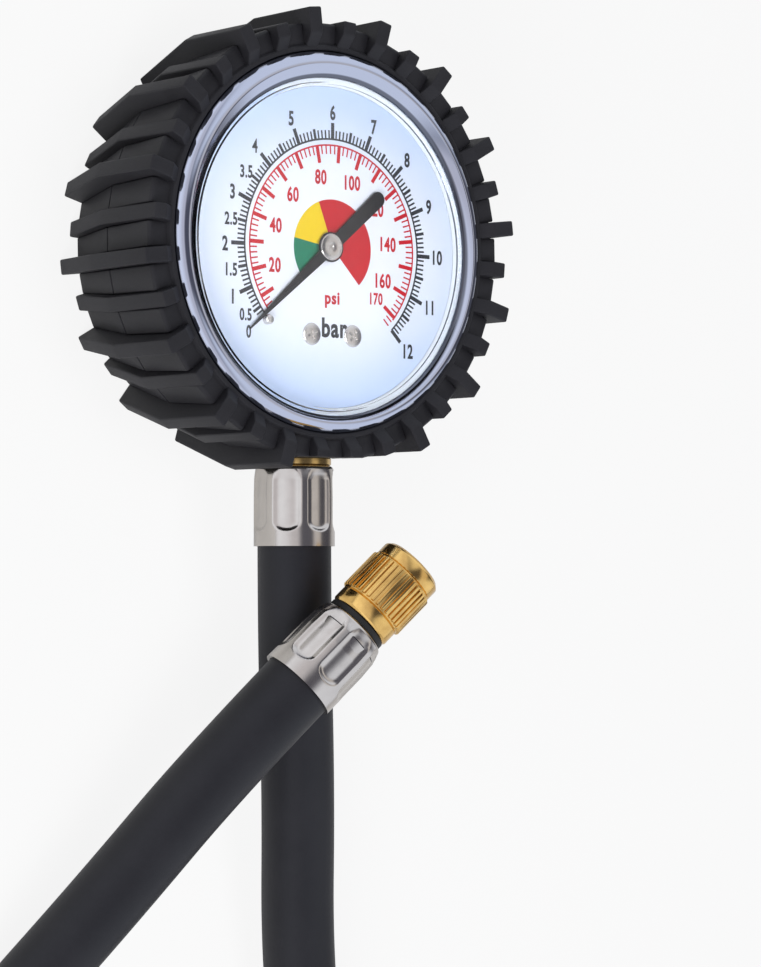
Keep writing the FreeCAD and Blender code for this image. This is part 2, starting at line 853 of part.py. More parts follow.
def movement_plate_front():
    """The plate nearer the dial, held on the pillars."""
    spans = [(centre, pillars[0]), (centre, pillars[1]), (centre, sector_at)]
    spans += [(sector_at, pillars[1]), (sector_at, pillars[2])]
    return plate(plate_front_z, spans, bearing_holes())


def movement_pillars():
    """The three pillars between the plates, each drilled for its screw."""
    solids = []
    low = plate_back_z + plate_thick
    for at in pillars:
        pillar = disc(pillar_r, low, plate_front_z, at)
        tip = plate_front_z + plate_thick - pillar_screw_len
        solids.append(pillar.cut(disc(pillar_screw_r, tip, plate_front_z, at)))
    return Part.makeCompound(solids)


def pillar_screws():
    """The three screws through the front plate."""
    top = plate_front_z + plate_thick
    shank = (pillar_screw_r, pillar_screw_len)
    head = (pillar_head_r, small_head_h)
    return Part.makeCompound([slotted_screw(shank, head, top, at) for at in pillars])


def movement_screws():
    """The two screws through the back plate into the block's tongue."""
    top = plate_back_z + plate_thick
    shank = (movement_screw_r, movement_screw_len)
    head = (small_head_r, small_head_h)
    return Part.makeCompound([slotted_screw(shank, head, top, at) for at in movement_feet])


def hairspring():
    """A flat spiral from the collet to the stud."""
    steps = spring_turns * spring_steps
    middle = []
    for index in range(steps + 1):
        share = index / steps
        radius = spring_in_r + spring_ribbon / 2 + (spring_out_r - spring_in_r) * share
        middle.append((radius, -360.0 * spring_turns * (1 - share)))
    half = spring_ribbon / 2
    outer = [at_angle(angle, radius + half) for radius, angle in middle]
    inner = [at_angle(angle, radius - half) for radius, angle in reversed(middle)]
    corners = [point + Vector(0, 0, spring_z) for point in outer + inner]
    return Part.Face(Part.makePolygon(corners + corners[:1])).extrude(Vector(0, 0, spring_height))


def hairspring_collet():
    """The ring on the pointer's shaft that holds the spring's inner end."""
    top = spring_z + spring_height + collet_over
    return ring(spring_in_r, shaft_r, spring_z - collet_over, top)


def hairspring_stud():
    """The stud under the front plate that holds the spring's outer end."""
    at = Vector(spring_out_r + spring_ribbon + stud_r, 0, 0)
    return disc(stud_r, spring_z - stud_over, plate_front_z, at)


def case_screws():
    """The two screws from the case's back into the block's foot, heads towards the boot."""
    solids = []
    for side in (-1, 1):
        shank = (case_screw_r, case_screw_len)
        screw = slotted_screw(shank, (case_head_r, case_head_h), 0, centre)
        screw.rotate(centre, Vector(1, 0, 0), 180)
        screw.translate(Vector(side * case_screw_x, case_screw_y, boot_floor))
        solids.append(screw)
    return Part.makeCompound(solids)


def vent_plug():
    """The rubber plug in the case's back, with its flange inside."""
    at = Vector(0, vent_y, 0)
    plug = disc(vent_r, boot_floor, case_floor, at)
    return plug.fuse(disc(vent_flange_r, case_floor, case_floor + vent_flange_h, at)).removeSplitter()


def sealing_washer():
    """The washer between the shank's end and the hose tail's collar."""
    return on_stem(ring(washer_r, shank_bore_r, shank_end, shank_end + washer_thick))


def barbed_end(start, direction):
    """Outline of a barbed tail from height start, in a direction of 1 or -1."""
    pitch = direction * barb_len / barb_count
    groove_r = hose_bore_r - barb_groove
    outline = []
    for index in range(barb_count):
        height = start + pitch * index
        outline += [(groove_r, height), (hose_bore_r, height + barb_steep * pitch)]
    outline.append((groove_r, start + direction * barb_len))
    return outline


def hose_tail():
    """The brass tail: nipple in the shank, collar outside it and barbs in the hose."""
    inner_end = shank_end - nipple_len + nipple_gap
    collar_start = shank_end + washer_thick
    outline = [(air_r, inner_end), (shank_bore_r, inner_end), (shank_bore_r, collar_start)]
    outline += [(collar_r, collar_start), (collar_r, stem_face), (hose_bore_r, stem_face)]
    neck = stem_face + ferrule_flange
    outline += [(hose_bore_r, neck)] + barbed_end(neck, 1)
    outline += [(air_r, neck + barb_len)]
    return on_stem(lathe(outline))


def ferrule(crimp_turn, neck):
    """A crimped ferrule up the Z axis: its neck at 0, its open end up, with pressed dents."""
    shell = lathe([
        (hose_bore_r, 0),
        (ferrule_r - neck - ferrule_bevel, 0),
        (ferrule_r - neck, ferrule_bevel),
        (ferrule_r - neck / 3, 3 * ferrule_bevel),
        (ferrule_r, 6 * ferrule_bevel),
        (ferrule_r, ferrule_len),
        (hose_r, ferrule_len),
        (hose_r, ferrule_flange),
        (hose_bore_r, ferrule_flange),
    ])
    dents = []
    reach = ferrule_r + crimp_r - crimp_deep
    length = ferrule_len - crimp_start - crimp_inset
    for index in range(crimp_count):
        at = at_angle(crimp_turn + index * 360.0 / crimp_count, reach)
        dents.append(Part.makeCylinder(crimp_r, length, at + Vector(0, 0, crimp_start)))
    return shell.cut(dents)


def ferrule_gauge_end():
    """The ferrule at the gauge, open towards the hose."""
    shell = ferrule(crimp_first, ferrule_neck_gauge)
    shell.translate(Vector(0, 0, stem_face))
    return on_stem(shell)


def ferrule_connector_end():
    """The ferrule at the connector, open back along the hose."""
    return laid(ferrule(0, ferrule_neck), connector_face, connector_axis * -1)


def hose_route():
    """The hose's route: from inside one ferrule to inside the other."""
    points = [Vector(*point) for point in hose_near_gauge]
    points += [Vector(x, y, hose_r) for x, y in hose_on_ground]
    points += [Vector(*point) for point in hose_rising]
    end = connector_face - connector_axis * ferrule_flange
    points += [end - connector_axis * hose_last_run, end]
    return points


def cord_path(points):
    """Straight runs joined by tangent arcs, with the arcs' radii and the path's length."""
    edges = []
    radii = []
    start = points[0]
    for before, corner, after in zip(points, points[1:], points[2:]):
        back = before - corner
        ahead = after - corner
        turn = math.pi - back.getAngle(ahead)
        cut = bend_share * min(back.Length, ahead.Length)
        radii.append(cut / math.tan(turn / 2))
        enter = corner + back.normalize() * cut
        leave = corner + ahead.normalize() * cut
        centre_way = (back + ahead).normalize()
        depth = radii[-1] / math.cos(turn / 2) - radii[-1]
        edges.append(Part.LineSegment(start, enter).toShape())
        edges.append(Part.Arc(enter, corner + centre_way * depth, leave).toShape())
        start = leave
    edges.append(Part.LineSegment(start, points[-1]).toShape())
    return edges, radii


def swept(edges, radius):
    """A round bar along a path."""
    spine = Part.Wire(edges)
    first = edges[0]
    start = first.Vertexes[0].Point
    way = first.Vertexes[1].Point - start
    section = Part.Wire(Part.makeCircle(radius, start, way))
    return spine.makePipeShell([section], True, False)


def hose():
    """The hose: a rubber tube along its route."""
    edges, radii = cord_path(hose_route())
    length = sum(edge.Length for edge in edges)
    tube = swept(edges, hose_r).cut(swept(edges, hose_bore_r))
    area = math.pi * (hose_r ** 2 - hose_bore_r ** 2)
    share = tube.Volume / area / length
    print("hose length", round(length, 1), "volume over section times length", round(share, 5))
    print("hose radii", [round(bend, 1) for bend in radii])
    return tube


def connector_stem():
    """The connector's brass stem: barbs, a collar against the ferrule, and the nut's neck."""
    nose = nose_height()
    neck_end = nose - nose_past_ring
    groove = neck_end - ring_thick
    barb_start = -ferrule_flange
    outline = [(stem_air_r, barb_start - barb_len)]
    outline += list(reversed(barbed_end(barb_start, -1)))
    outline += [
        (hose_bore_r, barb_start),
        (hose_bore_r, 0),
        (stem_collar_r, 0),
        (stem_collar_r, stem_collar_len),
        (neck_r, stem_collar_len),
        (neck_r, groove),
        (neck_r - ring_groove, groove),
        (neck_r - ring_groove, neck_end),
        (neck_r, neck_end),
        (neck_r, nose),
        (spider_r, nose),
        (spider_r, nose - spider_thick),
        (stem_air_r, nose - spider_thick),
    ]
    return on_connector(lathe(outline))


def nose_height():
    """How far the stem's nose stands beyond the ferrule's face."""
    return nut_start + nut_wall + face_gap * 2 + ring_thick + nose_past_ring


def dust_washer():
    """The thin black washer between the stem's collar and the nut."""
    low = stem_collar_len
    return on_connector(ring(dust_washer_r, neck_r, low, low + dust_washer_thick))


def swivel_nut():
    """The knurled nut: it turns on the stem's neck and screws on the tyre valve."""
    start = nut_start + face_gap
    end = nut_start + nut_len + face_gap
    knurl_start = start + nut_collar_len
    knurl_end = knurl_start + nut_knurl_len
    chamber = start + nut_wall
    thread_start = end - nut_mouth_chamfer - nut_thread_len
    ease = nut_knurl_deep
    outline = [
        (neck_r + neck_play, start),
        (nut_collar_r - ease, start),
        (nut_collar_r, start + ease),
        (nut_collar_r, knurl_start),
        (nut_knurl_r, knurl_start + ease),
        (nut_knurl_r, knurl_end - ease),
        (nut_tip_r, knurl_end),
        (nut_tip_r, end - nut_tip_chamfer),
        (nut_tip_r - nut_tip_chamfer, end),
        (nut_thread_r + nut_mouth_chamfer, end),
        (nut_thread_r, end - nut_mouth_chamfer),
        (nut_thread_r, thread_start),
        (nut_chamber_r, thread_start),
        (nut_chamber_r, chamber),
        (neck_r + neck_play, chamber),
    ]
    nut = lathe(outline)
    groove_w = math.pi * nut_knurl_r / nut_knurls
    grooves = []
    for index in range(nut_knurls):
        deep = nut_knurl_r - nut_knurl_deep
        corners = [
            Vector(deep, 0, knurl_start),
            Vector(nut_knurl_r + groove_over, -groove_w / 2, knurl_start),
            Vector(nut_knurl_r + groove_over, groove_w / 2, knurl_start),
        ]
        face = Part.Face(Part.makePolygon(corners + corners[:1]))
        groove = face.extrude(Vector(0, 0, nut_knurl_len))
        groove.rotate(centre, Vector(0, 0, 1), index * 360.0 / nut_knurls)
        grooves.append(groove)
    return on_connector(nut.cut(grooves))


def retaining_ring():
    """The ring in the neck's groove that keeps the nut on."""
    low = nose_height() - nose_past_ring - ring_thick
    return on_connector(ring(ring_r, neck_r - ring_groove, low, low + ring_thick))


def nut_seal():
    """The rubber seal on the stem's nose."""
    low = nose_height()
    return on_connector(ring(seal_r, seal_bore_r, low, low + seal_thick))


def depressor_pin():
    """The pin that opens the valve's core, on a small cross that lets the air by."""
    low = nose_height() - spider_thick
    pin = disc(depressor_r, low, nose_height() + seal_thick)
    reach = spider_r - spider_play
    half = spider_w / 2
    bars = [
        box(-reach, reach, -half, half, low, low + spider_thick),
        box(-half, half, -reach, reach, low, low + spider_thick),
    ]
    cross = pin.fuse(bars)
    trimmed = cross.common(disc(spider_r, low, nose_height() + seal_thick))
    return on_connector(trimmed.removeSplitter())


NODES = {
    "rubber_boot": rubber_boot,
    "gauge_case": gauge_case,
    "bezel_ring": bezel_ring,
    "lens": lens,
    "lens_gasket": lens_gasket,
    "dial_plate": dial_plate,
    "dial_screws": dial_screws,
    "stop_pin": stop_pin,
    "pointer": pointer,
    "pointer_hub_cap": pointer_hub_cap,
    "socket_block": socket_block,
    "bourdon_tube": bourdon_tube,
    "tube_tip": tube_tip,
    "link": link,
    "sector_gear": sector_gear,
    "sector_arbor": sector_arbor,
    "pinion_arbor": pinion_arbor,
    "hairspring": hairspring,
    "hairspring_collet": hairspring_collet,
    "hairspring_stud": hairspring_stud,
    "movement_plate_back": movement_plate_back,
    "movement_plate_front": movement_plate_front,
    "movement_pillars": movement_pillars,
    "pillar_screws": pillar_screws,
    "movement_screws": movement_screws,
    "case_screws": case_screws,
    "vent_plug": vent_plug,
    "sealing_washer": sealing_washer,
    "hose_tail": hose_tail,
    "ferrule_gauge_end": ferrule_gauge_end,
    "hose": hose,
    "ferrule_connector_end": ferrule_connector_end,
    "connector_stem": connector_stem,
    "dust_washer": dust_washer,
    "swivel_nut": swivel_nut,
    "retaining_ring": retaining_ring,
    "nut_seal": nut_seal,
    "depressor_pin": depressor_pin,
}

for node, make in NODES.items():
    make().exportStep("parts/" + node + ".step")
link_pin(tail_rest).exportStep("parts/tail_pin.step")
link_pin(tip_rest).exportStep("parts/tip_pin.step")

print("sector at", tuple(sector_at), "swing", round(swing, 4), "module", round(module, 4))
print("tail pin at", tuple(tail_rest))
print("tip centre", tuple(tip_centre), "tip turn", round(tip_turn, 4))
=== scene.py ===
import math

import bpy
from bpy.props import FloatProperty, FloatVectorProperty, IntProperty, PointerProperty
from mathutils import Matrix, Vector


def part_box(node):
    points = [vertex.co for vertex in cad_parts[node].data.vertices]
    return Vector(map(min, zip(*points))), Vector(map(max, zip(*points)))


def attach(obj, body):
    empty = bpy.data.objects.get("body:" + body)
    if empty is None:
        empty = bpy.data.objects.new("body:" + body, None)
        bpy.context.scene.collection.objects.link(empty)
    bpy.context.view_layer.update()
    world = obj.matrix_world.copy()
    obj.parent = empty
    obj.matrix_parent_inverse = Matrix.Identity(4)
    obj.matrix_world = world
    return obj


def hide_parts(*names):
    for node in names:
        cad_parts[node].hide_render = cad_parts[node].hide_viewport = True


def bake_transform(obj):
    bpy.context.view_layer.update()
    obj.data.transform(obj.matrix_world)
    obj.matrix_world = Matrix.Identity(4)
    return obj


bl_info = {
    "name": "Tyre gauge with air hose",
    "version": (1, 0, 0),
    "blender": (4, 5, 0),
    "location": "View3D > Sidebar > Tyre gauge",
    "description": "Builds a booted tyre pressure gauge with its hose and screw-on connector",
    "category": "Add Mesh",
}

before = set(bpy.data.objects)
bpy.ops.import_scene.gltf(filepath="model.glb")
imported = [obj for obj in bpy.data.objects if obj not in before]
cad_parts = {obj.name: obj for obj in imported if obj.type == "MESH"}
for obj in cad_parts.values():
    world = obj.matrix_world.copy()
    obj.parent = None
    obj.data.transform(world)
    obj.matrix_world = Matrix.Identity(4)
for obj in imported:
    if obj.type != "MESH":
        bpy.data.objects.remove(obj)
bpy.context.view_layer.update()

MM = 0.001
UP = Vector((0, 0, 1))
WHITE = (1, 1, 1, 1)


def node_top(node):
    """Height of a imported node's top in millimetres."""
    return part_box(node)[1][2] / MM


# Places that the pieces share, in millimetres
POINTER_AXIS = Vector((0, 0, 0))
CASE_CENTRE = Vector((-0.5, 0.85, 0))
DIAL_TOP = node_top("dial_plate")
LENS_TOP = node_top("lens")
BEZEL_TOP = node_top("bezel_ring")
BOOT_TOP = node_top("rubber_boot")
HUB_TOP = node_top("pointer_hub_cap")
STEM_Z = 21.5
STEM_FACE = 39.3
CONNECTOR_FACE = Vector((1.0, -68.45, 37.6))
CONNECTOR_WAY = Vector((0.664, 0.702, 0.258)).normalized()
FERRULE_FLANGE = 2.4

# The hose and its route: down from the stem to the ground, round a loop and up over itself
HOSE_RADIUS = 6.75
HOSE_ON_GROUND = [
    (15.8, -160.0), (23.2, -188.5), (32.0, -218.0), (34.0, -250.0), (21.5, -279.5), (-3.5, -300.0),
    (-35.0, -308.5), (-67.5, -301.5), (-94.0, -281.5), (-109.0, -252.0), (-110.0, -219.0),
    (-96.5, -189.0), (-77.5, -164.0),
]
HOSE_POINTS = [
    (0.0, -STEM_FACE - FERRULE_FLANGE, STEM_Z), (0.0, -68.5, STEM_Z), (6.2, -99.5, 14.8), (10.6, -130.5, 8.6),
    *[(x, y, HOSE_RADIUS) for x, y in HOSE_ON_GROUND],
    (-58.5, -140.0, 9.2), (-39.5, -117.0, 18.2),
]
HOSE_LAST_RUN = 31.0

# The pointer's angle at rest, in degrees, and the pressure tube inside the case
REST_ANGLE = 220.7
TUBE_RADIUS = 21.5
TUBE_Z = 20.0
TUBE_THICK = 2.4
TUBE_TALL = 8.0
TUBE_ENDS = (-10, 262)

# Print on the dial: text, its place in millimetres and its share of the digits' height
DIAL_CENTRE = Vector((0.87, -0.1, 0))
BLACK_NUMBERS = [
    ("0", -17.9, -16.0, 0.86), ("0.5", -18.55, -13.0, 0.82), ("1", -21.4, -9.95), ("1.5", -21.85, -5.2, 0.88),
    ("2", -23.1, -0.65), ("2.5", -21.8, 3.8, 0.86), ("3", -21.5, 8.6), ("3.5", -18.5, 12.35, 0.86),
    ("4", -16.6, 17.05), ("5", -8.55, 22.6), ("6", 0.85, 24.4), ("7", 10.3, 22.55), ("8", 18.15, 17.15),
    ("9", 23.3, 8.85), ("10", 25.2, -0.4), ("11", 23.55, -9.75), ("12", 18.25, -18.0),
]
RED_NUMBERS = [
    ("20", -12.15, -3.85), ("40", -11.95, 3.25), ("60", -8.15, 9.05), ("80", -1.85, 12.6), ("100", 5.2, 12.0),
    ("120", 10.6, 7.6), ("140", 13.5, 1.35), ("160", 12.35, -5.35), ("170", 10.8, -8.75, 0.82),
]
PSI_PER_BAR = 14.5038
# Marks of the outer scale: their division in bar, outer radius and width
BAR_MARKS = ((0.1, 21.3, 0.33), (0.5, 21.6, 0.55), (1, 22.65, 0.72))
# The coloured sector's parts, with their first and last angle
SECTORS = (("green", 170.5, 221), ("yellow", 111, 170.5), ("red", -46.5, 111))

# Colours that bright surfaces reflect, by degrees from straight up towards +X
WALL_STOPS = [
    (-150, (0.3, 0.3, 0.33)), (-110, (0.5, 0.5, 0.56)), (-96, (0.9, 0.91, 1.0)), (-80, (1.15, 1.2, 1.3)),
    (-56, (1.0, 1.02, 1.1)), (-40, (0.8, 0.79, 0.84)), (-28, (0.8, 0.79, 0.84)), (-16, (0.13, 0.13, 0.16)),
    (16, (0.12, 0.12, 0.15)), (24, (0.8, 0.78, 0.78)), (40, (0.75, 0.72, 0.7)), (48, (0.11, 0.11, 0.13)),
    (78, (0.09, 0.09, 0.11)), (92, (0.32, 0.31, 0.32)), (130, (0.3, 0.29, 0.3)),
]
SIDE_WALLS = (0.95, 1.0, 1.1, 1)
DOME = (0.93, 0.95, 1, 1)

# The camera: its place in metres, its axes, and its focal length and the picture's height in pixels
CAMERA_PLACE = Vector((-0.37755594, -0.06015028, 0.51624268))
CAMERA_BACK = Vector((-0.62630, -0.02848, 0.77906)).normalized()
CAMERA_RIGHT = Vector((0.779, 0.001, 0.627))
CAMERA_FOCUS = 3410
PICTURE_HEIGHT = 967
SENSOR = 36


# Shader nodes

class Socket:
    """An output socket that takes part in arithmetic by adding Math nodes."""

    def __init__(self, finish, output):
        self.finish = finish
        self.output = output

    def maths(self, operation, *values):
        """The result of a Math node on these values."""
        return self.finish.node("ShaderNodeMath", {"operation": operation}, dict(enumerate(values)))

    def __add__(self, other):
        return self.maths("ADD", self, other)

    __radd__ = __add__

    def __sub__(self, other):
        return self.maths("SUBTRACT", self, other)

    def __rsub__(self, other):
        return self.maths("SUBTRACT", other, self)

    def __mul__(self, other):
        return self.maths("MULTIPLY", self, other)

    __rmul__ = __mul__

    def __gt__(self, other):
        return self.maths("GREATER_THAN", self, other)

    def size(self):
        """The value without its sign."""
        return self.maths("ABSOLUTE", self)

    def clamped(self):
        """The value held between 0 and 1."""
        return self.finish.node("ShaderNodeClamp", {}, {"Value": self})


class Finish:
    """A material, or the world, and the nodes in it."""

    def __init__(self, name, tree=None):
        if tree is None:
            self.material = bpy.data.materials.new(name)
            self.material.use_nodes = True
            tree = self.material.node_tree
        self.tree = tree
        self.tree.nodes.clear()

    def node(self, kind, settings, values, result=0):
        """Add a node: its settings first, then the values or links of its sockets."""
        node = self.tree.nodes.new(kind)
        for key, value in settings.items():
            if key == "stops":
                self.stops(node.color_ramp, value)
            else:
                setattr(node, key, value)
        for key, value in values.items():
            if isinstance(value, Socket):
                self.tree.links.new(value.output, node.inputs[key])
            else:
                node.inputs[key].default_value = value
        return Socket(self, node.outputs[result]) if node.outputs else node

    def stops(self, ramp, stops):
        """Set a ramp's stops from (place, colour) pairs."""
        while len(ramp.elements) < len(stops):
            ramp.elements.new(0.5)
        for element, (place, colour) in zip(ramp.elements, stops):
            element.position = place
            element.color = (*colour, 1)

    def place(self):
        """Object coordinates, in metres."""
        return self.node("ShaderNodeTexCoord", {}, {}, "Object")

    def stretched(self, scale):
        """Object coordinates stretched by a factor along each axis."""
        return self.node("ShaderNodeMapping", {}, {"Vector": self.place(), "Scale": scale})

    def away(self, scale):
        """Distance from the origin in metres, with each axis multiplied by a factor."""
        flat = self.node("ShaderNodeVectorMath", {"operation": "MULTIPLY"}, {0: self.place(), 1: scale})
        return self.node("ShaderNodeVectorMath", {"operation": "LENGTH"}, {0: flat}, "Value")

    def axes(self, vector):
        """The X, Y and Z of a vector."""
        return [self.node("ShaderNodeSeparateXYZ", {}, {"Vector": vector}, axis) for axis in "XYZ"]

    def noise(self, scale, detail=3.0, rough=0.5, vector=None):
        """Noise from 0 to 1, at so many features per metre."""
        where = vector or self.place()
        values = {"Vector": where, "Scale": scale, "Detail": detail, "Roughness": rough}
        return self.node("ShaderNodeTexNoise", {}, values, "Fac")

    def mix(self, factor, first, second):
        """A colour between two colours."""
        values = {0: factor, 6: first, 7: second}
        return self.node("ShaderNodeMix", {"data_type": "RGBA"}, values, 2)

    def smooth(self, value, low, high):
        """A soft step from 0 at low to 1 at high."""
        values = {"Value": value, "From Min": low, "From Max": high}
        return self.node("ShaderNodeMapRange", {"interpolation_type": "SMOOTHSTEP"}, values)

    def bump(self, height, strength, distance):
        """A normal from a height."""
        values = {"Height": height, "Strength": strength, "Distance": distance}
        return self.node("ShaderNodeBump", {}, values)

    def ray(self, kind):
        """A property of the ray that meets the surface."""
        return self.node("ShaderNodeLightPath", {}, {}, kind)

    def either(self, factor, first, second):
        """A shader mixed from two shaders."""
        return self.node("ShaderNodeMixShader", {}, {0: factor, 1: first, 2: second})

    def surface(self, **values):
        """The Principled shader, with the sockets' names written with underscores."""
        named = {key.replace("_", " "): value for key, value in values.items()}
        return self.node("ShaderNodeBsdfPrincipled", {}, named)

    def done(self, shader):
        """Send a shader to the output and give the material."""
        self.node("ShaderNodeOutputMaterial", {}, {"Surface": shader})
        return self.material


def rgba(colour, factor=1.0):
    """A colour, made lighter or darker, with its alpha."""
    return (*[min(1.0, part * factor) for part in colour], 1)


# Dust on rubber, how far a mottle darkens a colour, and half the blur of the edge of the painted shade on a
# plating, in millimetres
DUST = rgba((0.05, 0.049, 0.056))
MOTTLE = 0.72
PAINTED_SHADE_BLUR = 0.15


def rubber(name, colour, grain, wear, shine):
    """Moulded rubber: fine grain, dusty lighter patches and a soft sheen."""
    finish = Finish(name)
    patches = finish.noise(90, 4, 0.6)
    fine = finish.noise(grain, 3, 0.6)
    dust = ((patches - 0.42) * 2.2).clamped() * wear
    height = fine + 0.5 * finish.noise(grain * 4, 2, 0.5)
    return finish.done(finish.surface(
        Base_Color=finish.mix(dust + 0.1 * fine, rgba(colour), DUST),
        Roughness=shine + 0.16 * patches - 0.08 * fine,
        Normal=finish.bump(height, 0.35, 0.00006),
        Specular_IOR_Level=0.35,
    ))


def plated(name, colour, step):
    """Bright plated metal with faint haze and hairline marks, and painted shade inside a radius in millimetres,
    where the colour is darkened to three tenths.
    """
    finish = Finish(name)
    # Painted shade: outside the radius the plating keeps its colour, inside it the colour is darkened
    bright = finish.smooth(finish.away((1, 1, 0)), (step - PAINTED_SHADE_BLUR) * MM, (step + PAINTED_SHADE_BLUR) * MM)
    haze = finish.noise(60, 3, 0.6)
    marks = finish.noise(1400, 2, 0.6, finish.stretched((1, 1, 0.08)))
    hazy = finish.mix(haze * 0.25, rgba(colour), rgba(colour, 0.86))
    return finish.done(finish.surface(
        Base_Color=finish.mix(bright, rgba(colour, 0.3), hazy),
        Metallic=1.0,
        Roughness=0.07 + 0.06 * haze,
        Normal=finish.bump(marks, 0.05, 0.00002),
    ))


def pressed_steel(name, colour):
    """Bright steel pressed in dies: slight streaks and stains."""
    finish = Finish(name)
    stain = finish.noise(210, 4, 0.65)
    streaks = finish.noise(900, 3, 0.6, finish.stretched((1, 0.12, 1)))
    return finish.done(finish.surface(
        Base_Color=finish.mix((stain - 0.35).clamped() * 0.9, rgba(colour), rgba(colour, MOTTLE)),
        Metallic=1.0,
        Roughness=0.12 + 0.16 * stain,
        Normal=finish.bump(streaks + stain, 0.12, 0.00005),
    ))


def turned_brass(name, colour, dark, matt=0.14):
    """Machined brass with fine tool marks and slightly browner patches."""
    finish = Finish(name)
    tarnish = finish.noise(260, 4, 0.65)
    marks = finish.noise(3600, 2, 0.5)
    return finish.done(finish.surface(
        Base_Color=finish.mix((tarnish * 1.5 - 0.4).clamped(), rgba(colour), rgba(dark)),
        Metallic=1.0,
        Roughness=matt + 0.16 * tarnish,
        Normal=finish.bump(marks, 0.1, 0.00003),
    ))


def painted(name, colour, fleck, roughness):
    """Paint or ink with a faint mottle."""
    finish = Finish(name)
    mottle = finish.noise(700, 3, 0.6)
    return finish.done(finish.surface(
        Base_Color=finish.mix(mottle * fleck, rgba(colour), rgba(colour, MOTTLE)),
        Roughness=roughness + 0.1 * mottle,
        Normal=finish.bump(mottle, 0.08, 0.00003),
        Specular_IOR_Level=0.3,
    ))


def enamel(name, middle, rim):
    """Dial enamel with a faint mottle, and painted reflection and shade that make it darker and bluer towards its
    rim.
    """
    finish = Finish(name)
    mottle = finish.noise(500, 3, 0.6)
    # Share of the rim colour, which is painted reflection and shade: it grows from 12 mm to 30 mm out, with a
    # little mottle
    tint = finish.smooth(finish.away((0.72, 1.02, 0)), 0.012, 0.03) + (mottle - 0.5) * 0.12
    return finish.done(finish.surface(
        Base_Color=finish.mix(tint.clamped(), rgba(middle), rgba(rim)),
        Roughness=0.34 + 0.1 * mottle,
        Normal=finish.bump(mottle, 0.05, 0.00002),
    ))


def cup_paint(name, colour, rim_colour, rim_height):
    """Dark paint on the cup, with its rim left light above a height in millimetres."""
    finish = Finish(name)
    mottle = finish.noise(700, 3, 0.6)
    height = finish.axes(finish.place())[2]
    paint = finish.mix(mottle * 0.4, rgba(colour), rgba(colour, MOTTLE))
    return finish.done(finish.surface(
        Base_Color=finish.mix(height > rim_height * MM, paint, rgba(rim_colour)),
        Roughness=0.35 + 0.1 * mottle,
        Normal=finish.bump(mottle, 0.08, 0.00003),
    ))


def clear_plastic(name):
    """Clear moulded plastic that lets the lamps through."""
    finish = Finish(name)
    body = finish.surface(
        Base_Color=(0.97, 0.985, 1.0, 1),
        Roughness=0.01 + 0.02 * finish.noise(80, 2, 0.5),
        IOR=1.46,
        Transmission_Weight=1.0,
    )
    through = finish.node("ShaderNodeBsdfTransparent", {}, {"Color": (0.96, 0.975, 1.0, 1)})
    return finish.done(finish.either(finish.ray("Is Shadow Ray"), body, through))


def all_finishes(colours):
    """Every finish of the gauge, by name."""
    rim = node_top("gauge_case") - 0.1
    return {
        "boot": rubber("boot_rubber", colours.rubber, 2600, 0.30, 0.52),
        "hose": rubber("hose_rubber", colours.hose, 3400, 0.22, 0.46),
        "seal": rubber("seal_rubber", colours.rubber, 3000, 0.15, 0.5),
        "washer": painted("washer_black", (0.02, 0.02, 0.02), 0.4, 0.45),
        "case": cup_paint("case_paint", (0.022, 0.022, 0.024), (0.86, 0.89, 0.93), rim),
        "gasket": rubber("gasket_rubber", (0.82, 0.86, 0.9), 3000, 0.02, 0.5),
        # The bezel's plating has painted shade inside 31.2 mm
        "chrome": plated("bezel_chrome", colours.chrome, 31.2),
        "lens": clear_plastic("clear_lens"),
        # The dial's rim colour is painted reflection and shade
        "dial": enamel("dial_white", colours.dial, colours.dial_rim_painted_shade),
        "black_ink": painted("ink_black", (0.028, 0.03, 0.036), 0.5, 0.5),
        "red_ink": painted("ink_red", colours.red, 0.2, 0.5),
        "yellow_ink": painted("ink_yellow", colours.yellow, 0.15, 0.5),
        "green_ink": painted("ink_green", colours.green, 0.2, 0.5),
        "pointer": painted("pointer_black", (0.006, 0.006, 0.008), 0.4, 0.5),
        "bright": pressed_steel("screw_steel", (0.74, 0.7, 0.66)),
        "ferrule": pressed_steel("ferrule_steel", colours.steel),
        "brass": turned_brass("brass", (0.8, 0.56, 0.22), (0.5, 0.3, 0.1)),
        "nut": turned_brass("nut_brass", colours.brass, (0.5, 0.28, 0.08), 0.07),
        "movement": turned_brass("movement_brass", (0.78, 0.6, 0.3), (0.6, 0.42, 0.18)),
        "bronze": turned_brass("tube_bronze", (0.7, 0.42, 0.22), (0.45, 0.25, 0.12)),
        "spring": turned_brass("spring_bronze", (0.72, 0.47, 0.26), (0.5, 0.3, 0.15)),
        "copper": turned_brass("washer_copper", (0.8, 0.42, 0.27), (0.5, 0.24, 0.14)),
    }


FINISHES = {}

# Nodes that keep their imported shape, by finish
CARRIED_OVER = {
    "case": ["gauge_case"],
    "seal": ["vent_plug", "nut_seal"],
    "dial": ["dial_plate"],
    "brass": ["socket_block", "tube_tip", "connector_stem", "depressor_pin"],
    "movement": [
        "link", "sector_gear", "hairspring_collet", "hairspring_stud",
        "movement_plate_back", "movement_plate_front", "movement_pillars",
    ],
    "spring": ["hairspring"],
    "copper": ["sealing_washer"],
    "bright": [
        "tip_pin", "tail_pin", "sector_arbor", "pinion_arbor", "pillar_screws",
        "movement_screws", "case_screws", "retaining_ring",
    ],
}


# Modelling

def begin():
    """Leave edit mode and deselect everything."""
    if bpy.context.object and bpy.context.object.mode != "OBJECT":
        bpy.ops.object.mode_set(mode="OBJECT")
    bpy.ops.object.select_all(action="DESELECT")


def pick(piece):
    """Select one piece alone."""
    begin()
    piece.select_set(True)
    bpy.context.view_layer.objects.active = piece


